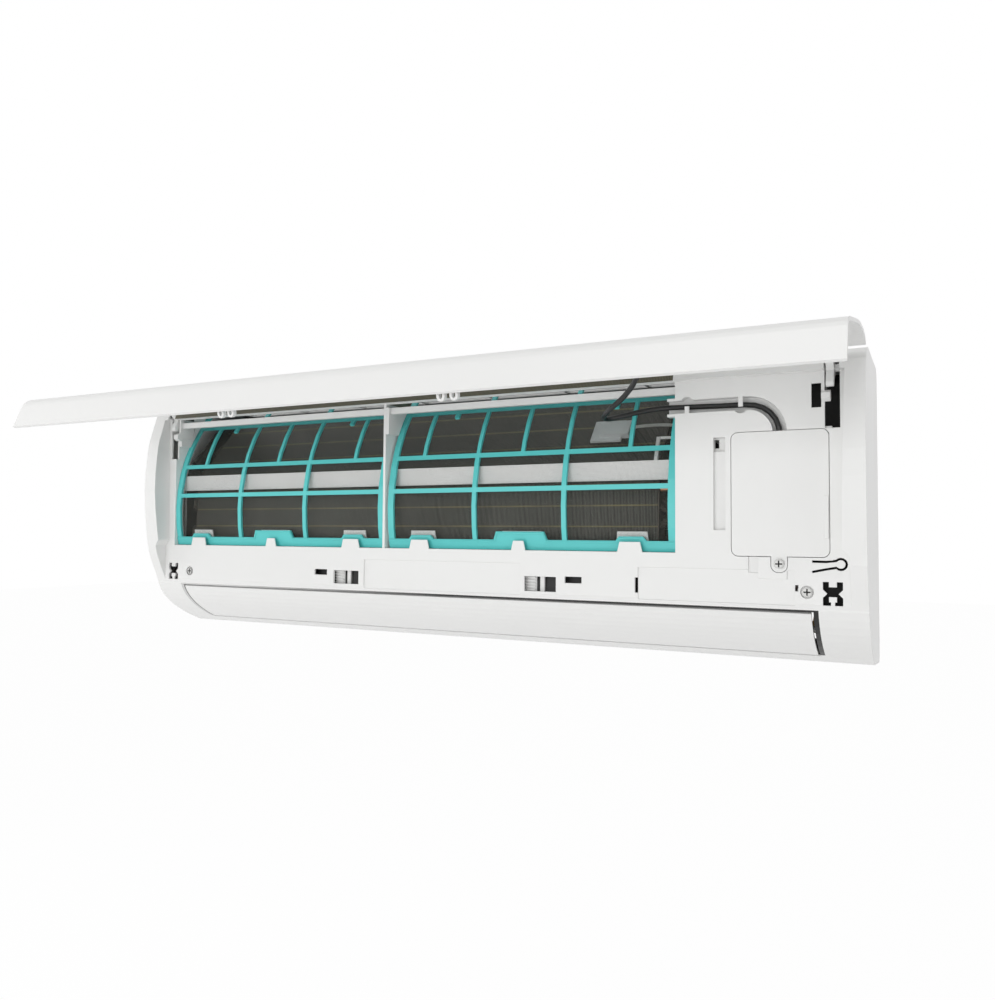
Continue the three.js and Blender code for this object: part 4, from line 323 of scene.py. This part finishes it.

# The coil's fin packs: aluminium fins stacked on copper tubes, 1.5 mm apart, seen edge on as fine
# upright lines. The gaps between them are painted shade, and the fins' edges are painted in a dark
# tone for the shade inside the coil. The tube rows show as faint brassy lines, 21 mm apart, broken where
# the fins are dented.
fin_pitch = 0.0015
fin_gap_until = 0.35
fin_gap_painted_shade = (0.006, 0.006, 0.005, 1)
fin_edge_from = 0.75
fin_edge_painted_shade = (0.1, 0.1, 0.088, 1)
fin_relief = 0.8
fin_height = 0.0006
tube_pitch = 0.021
tube_phase = 0.75
tube_line_from = 0.975
tube_line_share = 0.7
tube_brass = (0.3, 0.27, 0.1)
dent_scale = 28
dent_detail = 5
wave_radians = 20


def stripes(tree, axis, pitch, phase=0):
    """Soft stripes across one axis. At scale 1 Blender's wave turns 20 radians per metre."""
    place = tree.nodes.new("ShaderNodeTexCoord")
    wave = tree.nodes.new("ShaderNodeTexWave")
    wave.wave_type = "BANDS"
    wave.bands_direction = axis
    wave.inputs["Scale"].default_value = 2 * math.pi / pitch / wave_radians
    wave.inputs["Phase Offset"].default_value = phase
    tree.links.new(place.outputs["Object"], wave.inputs["Vector"])
    return wave.outputs["Fac"]


fins = bpy.data.materials.new("fins")
fins.use_nodes = True
fin_tree = fins.node_tree
fin_shader = fin_tree.nodes["Principled BSDF"]
fin_shader.inputs["Metallic"].default_value = 0.7
fin_shader.inputs["Roughness"].default_value = 0.45
fin_lines = stripes(fin_tree, "X", fin_pitch)
fin_shade_tones = fin_tree.nodes.new("ShaderNodeValToRGB")
# The ramp paints shade: near-black in the gaps between fins and a dark tone on their edges.
gap_stop, edge_stop = fin_shade_tones.color_ramp.elements
gap_stop.position = fin_gap_until
gap_stop.color = fin_gap_painted_shade
edge_stop.position = fin_edge_from
edge_stop.color = fin_edge_painted_shade
fin_tree.links.new(fin_lines, fin_shade_tones.inputs["Fac"])
fin_tree.links.new(fin_shade_tones.outputs["Color"], fin_shader.inputs["Base Color"])
tube_lines = fin_tree.nodes.new("ShaderNodeMapRange")
tube_lines.inputs["From Min"].default_value = tube_line_from
tube_lines.inputs["To Max"].default_value = tube_line_share
fin_tree.links.new(stripes(fin_tree, "Z", tube_pitch, tube_phase), tube_lines.inputs["Value"])
fin_place = fin_tree.nodes.new("ShaderNodeTexCoord")
fin_dents = fin_tree.nodes.new("ShaderNodeTexNoise")
fin_dents.inputs["Scale"].default_value = dent_scale
fin_dents.inputs["Detail"].default_value = dent_detail
fin_tree.links.new(fin_place.outputs["Object"], fin_dents.inputs["Vector"])
tube_share = combine(fin_tree, "MULTIPLY", tube_lines.outputs["Result"], fin_dents.outputs["Fac"])
paint_over(fin_tree, tube_share, tube_brass)
fin_bumps = fin_tree.nodes.new("ShaderNodeBump")
fin_bumps.inputs["Strength"].default_value = fin_relief
fin_bumps.inputs["Distance"].default_value = fin_height
fin_tree.links.new(fin_lines, fin_bumps.inputs["Height"])
fin_tree.links.new(fin_bumps.outputs["Normal"], fin_shader.inputs["Normal"])
dress(fins, "coil_front", "coil_upper", "coil_rear")

# The coil's ends: tube sheets and return bends, in a near-black that is painted shade, as dark as the fins.
# Two bare copper pipes, dulled in places, run from them through the casing's bulkhead to brass
# flare nuts.
bare_tube = {
    "cloud_scale": 40, "dark": 0.7, "spread": 0.1, "grain_scale": 1500, "relief": 0.08, "edge": 0.0003}
# The coil ends' near-black is painted shade.
coil_end_painted_shade = finish_nodes("coil_end_painted_shade", bare_tube, (0.06, 0.05, 0.04), metallic=0.6, roughness=0.5)
copper = finish_nodes("copper", bare_tube, (0.66, 0.31, 0.17), metallic=1, roughness=0.34)
brass = finish_nodes("brass", bare_tube, (0.7, 0.5, 0.2), metallic=1, roughness=0.3)
dress(coil_end_painted_shade, "coil_end_left", "coil_end_right")
dress(copper, "liquid_pipe", "gas_pipe")
dress(brass, "flare_nut_liquid", "flare_nut_gas")

# The outlet: eight upright vanes on two link bars and the flap of the louver, all moulded in a
# slightly warm white plastic with a fine satin skin. The louver's motor has a zinc coated shell.
vane_count = 8
white_plastic = finish_nodes("white_plastic", smooth_plastic, white_resin, roughness=0.36)
dress(white_plastic, *[f"vane_{number}" for number in range(1, vane_count + 1)])
dress(white_plastic, "vane_link_left", "vane_link_right", "louver_flap")
dress(zinc_sheet, "louver_motor")

# The electrical box: a white moulded box with its cover at the right end, on posts of the casing.
# It holds the control board, a green laminate with a faint mottle under its coating, and the
# terminal block of black plastic.
board = {
    "cloud_scale": 150, "dark": 0.6, "spread": 0.1, "grain_scale": 900, "relief": 0.3, "edge": 0.0002}
board_green = finish_nodes("board_green", board, (0.03, 0.16, 0.06), roughness=0.4)
black_plastic = finish_nodes("black_plastic", smooth_plastic, (0.025, 0.025, 0.026), roughness=0.45)
dress(white_plastic, "electrical_box", "electrical_box_cover")
dress(board_green, "control_board")
dress(black_plastic, "terminal_block")

# The front frame: one white moulding. The outlet's edges and the duct behind the louver are painted
# black as shade, in a box round the flap, a gap wider; the painted shade thins towards the left, where
# light gets into the gap.
# A strip along the head, over the window, is painted dark with stripes at the fins' pitch: painted shade
# for the shaded inside seen through the net above the cross bar.
flap_gap = 0.0018
shade_margin = 0.0002
gap_painted_shade = (0.004, 0.004, 0.004)
shade_thin_x = -0.3
shade_full_x = 0
shade_thin_share = 0.3
painted_window_spans = {"X": (-0.3952, 0.2584), "Z": (0.1236, 0.1375)}
window_painted_shade = (0.05, 0.048, 0.034, 1)
window_painted_lines = (0.16, 0.15, 0.1, 1)

frame_white = finish_nodes("frame_white", smooth_plastic, white_resin, roughness=0.36)
frame_tree = frame_white.node_tree
flap_low, flap_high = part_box("louver_flap")
shade_reach = flap_gap + shade_margin
# Painted shade: black in and round the louver flap's gap, thinner towards the left.
shade_box = inside_box(frame_tree, {
    "X": (flap_low[0] - shade_reach, flap_high[0] + shade_reach),
    "Z": (flap_low[2], flap_high[2] + shade_reach)})
shade_fade = frame_tree.nodes.new("ShaderNodeMapRange")
shade_fade.inputs["From Min"].default_value = shade_thin_x
shade_fade.inputs["From Max"].default_value = shade_full_x
shade_fade.inputs["To Min"].default_value = shade_thin_share
frame_tree.links.new(object_axes(frame_tree)["X"], shade_fade.inputs["Value"])
gap_shade_share = combine(frame_tree, "MULTIPLY", shade_box, shade_fade.outputs["Result"])
paint_over(frame_tree, gap_shade_share, gap_painted_shade)
# Painted shade of the window's inside, striped at the fins' pitch, on the head strip.
painted_window_tone = frame_tree.nodes.new("ShaderNodeMixRGB")
painted_window_tone.inputs["Color1"].default_value = window_painted_shade
painted_window_tone.inputs["Color2"].default_value = window_painted_lines
frame_tree.links.new(stripes(frame_tree, "X", fin_pitch), painted_window_tone.inputs["Fac"])
paint_over(frame_tree, inside_box(frame_tree, painted_window_spans), painted_window_tone.outputs["Color"])
dress(frame_white, "front_frame")

# The latch catches: white moulded springs behind the fascia's two receivers, one for each pair of
# hooks on the panel. Two rails carry a ribbed spring, an upright bar and a toothed end. Sizes are in
# millimetres, across from the receiver's left edge, behind the fascia and above its foot.
catch_lefts = (-140, 102)
catch_front = 5.6
catch_back = 8.6
rail_span = (-4, 39)
rail_depth = (2.6, 7)
rail_lows = (77, 57.4)
rail_height = 2.5
upright_span = (59, 78)
spring_span = (-2, 11)
spring_front = 7.4
bar_span = (15.4, 20.2)
end_span = (36, 39)
rib_span = (-2, 10.2)
rib_back = 7.6
rib_lows = [61.6 + 3.1 * rib for rib in range(5)]
rib_height = 1.4
tooth_span = (33.2, 36.4)
tooth_lows = [61.8 + 3.7 * tooth for tooth in range(4)]
tooth_height = 2.1
catch_edge = 0.0003

catch_blocks = [(rail_span, rail_depth, (low, low + rail_height)) for low in rail_lows]
catch_blocks.append((spring_span, (spring_front, catch_back), upright_span))
for upright in (bar_span, end_span):
    catch_blocks.append((upright, (catch_front, catch_back), upright_span))
for low in rib_lows:
    catch_blocks.append((rib_span, (catch_front, rib_back), (low, low + rib_height)))
for low in tooth_lows:
    catch_blocks.append((tooth_span, (catch_front, catch_back), (low, low + tooth_height)))

bpy.ops.object.select_all(action="DESELECT")
bpy.ops.mesh.primitive_cube_add(size=1, location=(0, 0, 0))
catch = bpy.context.object
catch.name = "latch_catch_left"
bpy.ops.object.mode_set(mode="EDIT")
bpy.ops.mesh.select_all(action="SELECT")
bpy.ops.mesh.delete(type="VERT")
for spans in catch_blocks:
    across, back, height = [(low + high) / 2 for low, high in spans]
    block_size = [(high - low) * millimetre for low, high in spans]
    bpy.ops.mesh.primitive_cube_add(
        size=1, location=unit_point(catch_lefts[0] + across, back, height), scale=block_size)
bpy.ops.mesh.select_all(action="SELECT")
bpy.ops.mesh.intersect_boolean(operation="UNION", use_self=True, solver="EXACT")
bpy.ops.object.mode_set(mode="OBJECT")
catch_round = catch.modifiers.new("round", "BEVEL")
catch_round.width = catch_edge
catch_round.segments = 2
bpy.ops.object.modifier_apply(modifier="round")
catch.data.materials.append(white_plastic)
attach(catch, "unit")
catch_twin = catch.copy()
catch_twin.data = catch.data.copy()
catch_twin.name = "latch_catch_right"
catch_twin.data.name = "latch_catch_right"
bpy.context.scene.collection.objects.link(catch_twin)
catch_twin.data.transform(Matrix.Translation(((catch_lefts[1] - catch_lefts[0]) * millimetre, 0, 0)))
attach(catch_twin, "unit")

# A black pad behind the right clip hole, on the frame's end wall: a dark sheet of painted shade,
# so the hole looks shaded inside and no light comes through it.
pad_low = Vector((0.3838, -0.1605, -0.0872))
pad_high = Vector((0.4224, -0.1555, -0.0462))
pad_cells = 12
pad_edge = 0.0009
pad_size = pad_high - pad_low
pad_middle = (pad_low + pad_high) / 2

bpy.ops.object.select_all(action="DESELECT")
bpy.ops.mesh.primitive_grid_add(
    x_subdivisions=pad_cells, y_subdivisions=pad_cells, size=1, location=(0, 0, 0))
pad = bpy.context.object
pad.name = "hole_shade_pad"
bpy.ops.object.mode_set(mode="EDIT")
bpy.ops.mesh.select_all(action="SELECT")
bpy.ops.transform.rotate(value=math.pi / 2, orient_axis="X", center_override=(0, 0, 0))
bpy.ops.transform.resize(value=(pad_size.x, 1, pad_size.z), center_override=(0, 0, 0))
bpy.ops.transform.translate(value=(pad_middle.x, pad_high.y, pad_middle.z))
bpy.ops.mesh.extrude_region_move(TRANSFORM_OT_translate={"value": (0, -pad_size.y, 0)})
bpy.ops.mesh.select_all(action="SELECT")
bpy.ops.mesh.normals_make_consistent(inside=False)
bpy.ops.object.mode_set(mode="OBJECT")
pad_round = pad.modifiers.new("round", "BEVEL")
pad_round.width = pad_edge
pad_round.segments = 3
pad_round.limit_method = "ANGLE"
bpy.ops.object.modifier_apply(modifier="round")
shade_pad_skin = {
    "cloud_scale": 120, "dark": 0.6, "spread": 0.05, "grain_scale": 1500, "relief": 0.8, "edge": 0.0002}
# The pad's black is painted shade.
hole_shade_black = finish_nodes("hole_shade_black", shade_pad_skin, (0.01, 0.01, 0.01), roughness=0.9)
pad.data.materials.append(hole_shade_black)
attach(pad, "unit")

# The screws of the frame and of the box's cover: pan heads, zinc plated and lightly scratched.
# The cross recess of each head holds dark shade: it starts below the head's face, near its axis.
recess_radius = 0.0032
recess_depth = 0.0005
recess_shade = (0.02, 0.02, 0.02)
for screw in ("cover_screw", "frame_screw_left", "frame_screw_right"):
    screw_steel = finish_nodes(
        f"steel_{screw}", plated_steel, (0.5, 0.5, 0.49), metallic=0.8, roughness=0.45)
    screw_tree = screw_steel.node_tree
    screw_low, screw_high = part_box(screw)
    screw_middle = [(low + high) / 2 for low, high in zip(screw_low, screw_high)]
    screw_axes = object_axes(screw_tree)
    screw_across = combine(screw_tree, "SUBTRACT", screw_axes["X"], screw_middle[0])
    screw_upward = combine(screw_tree, "SUBTRACT", screw_axes["Z"], screw_middle[2])
    off_axis = screw_tree.nodes.new("ShaderNodeCombineXYZ")
    screw_tree.links.new(screw_across, off_axis.inputs["X"])
    screw_tree.links.new(screw_upward, off_axis.inputs["Z"])
    screw_reach = screw_tree.nodes.new("ShaderNodeVectorMath")
    screw_reach.operation = "LENGTH"
    screw_tree.links.new(off_axis.outputs["Vector"], screw_reach.inputs[0])
    near_axis = combine(screw_tree, "LESS_THAN", screw_reach.outputs["Value"], recess_radius)
    below_face = combine(screw_tree, "GREATER_THAN", screw_axes["Y"], screw_low[1] + recess_depth)
    paint_over(screw_tree, combine(screw_tree, "MULTIPLY", near_axis, below_face), recess_shade)
    dress(screw_steel, screw)

# The room sensor sits on the fins in a clip of milky clear plastic, with a thin light grey lead.
# The fixed stretch of the black display lead lies in the frame's channel, held by its small tabs.
clear_plastic = finish_nodes("clear_plastic", smooth_plastic, (0.75, 0.78, 0.78), roughness=0.25)
lead_grey = finish_nodes("lead_grey", cable_skin, (0.58, 0.59, 0.56), roughness=0.45)
dress(clear_plastic, "sensor_clip")
dress(lead_grey, "sensor_lead")
dress(lead_black, "display_lead")

# The air filters' frames: bright turquoise polypropylene with a satin skin, each moulded in one
# piece with its ribs and lip. They slide in the front frame's curved guides.
filter_plastic = {
    "cloud_scale": 14, "dark": 0.93, "spread": 0.04, "grain_scale": 1800, "relief": 0.15, "edge": 0.0004}
turquoise = finish_nodes("turquoise", filter_plastic, (0.1, 0.6, 0.59), roughness=0.38)
dress(turquoise, "filter_frame_left", "filter_frame_right")

# The filters' nets: fine dark yarn, 1.2 mm apart, woven both ways and moulded into the frames.
# With its two faces a net covers about a sixth of what is behind it.
net_pitch = 0.0012
yarn_from = 0.985
yarn_grey = (0.16, 0.16, 0.14, 1)

net_yarn = bpy.data.materials.new("net_yarn")
net_yarn.use_nodes = True
net_tree = net_yarn.node_tree
net_shader = net_tree.nodes["Principled BSDF"]
net_shader.inputs["Base Color"].default_value = yarn_grey
net_shader.inputs["Roughness"].default_value = 0.7
net_lines = combine(
    net_tree, "MAXIMUM", stripes(net_tree, "X", net_pitch), stripes(net_tree, "Z", net_pitch))
net_cover = net_tree.nodes.new("ShaderNodeMapRange")
net_cover.inputs["From Min"].default_value = yarn_from
net_cover.inputs["From Max"].default_value = 1
net_tree.links.new(net_lines, net_cover.inputs["Value"])
net_tree.links.new(net_cover.outputs["Result"], net_shader.inputs["Alpha"])
dress(net_yarn, "filter_net_left", "filter_net_right")

# The top grille over the air inlet and the front panel on its two arms, moulded in the same white
# plastic as the vanes. The panel carries the display module, whose box is a duller white.
inner_white = finish_nodes("inner_white", smooth_plastic, (0.72, 0.72, 0.7), roughness=0.5)
dress(white_plastic, "top_grille", "front_panel")
dress(inner_white, "display_module")
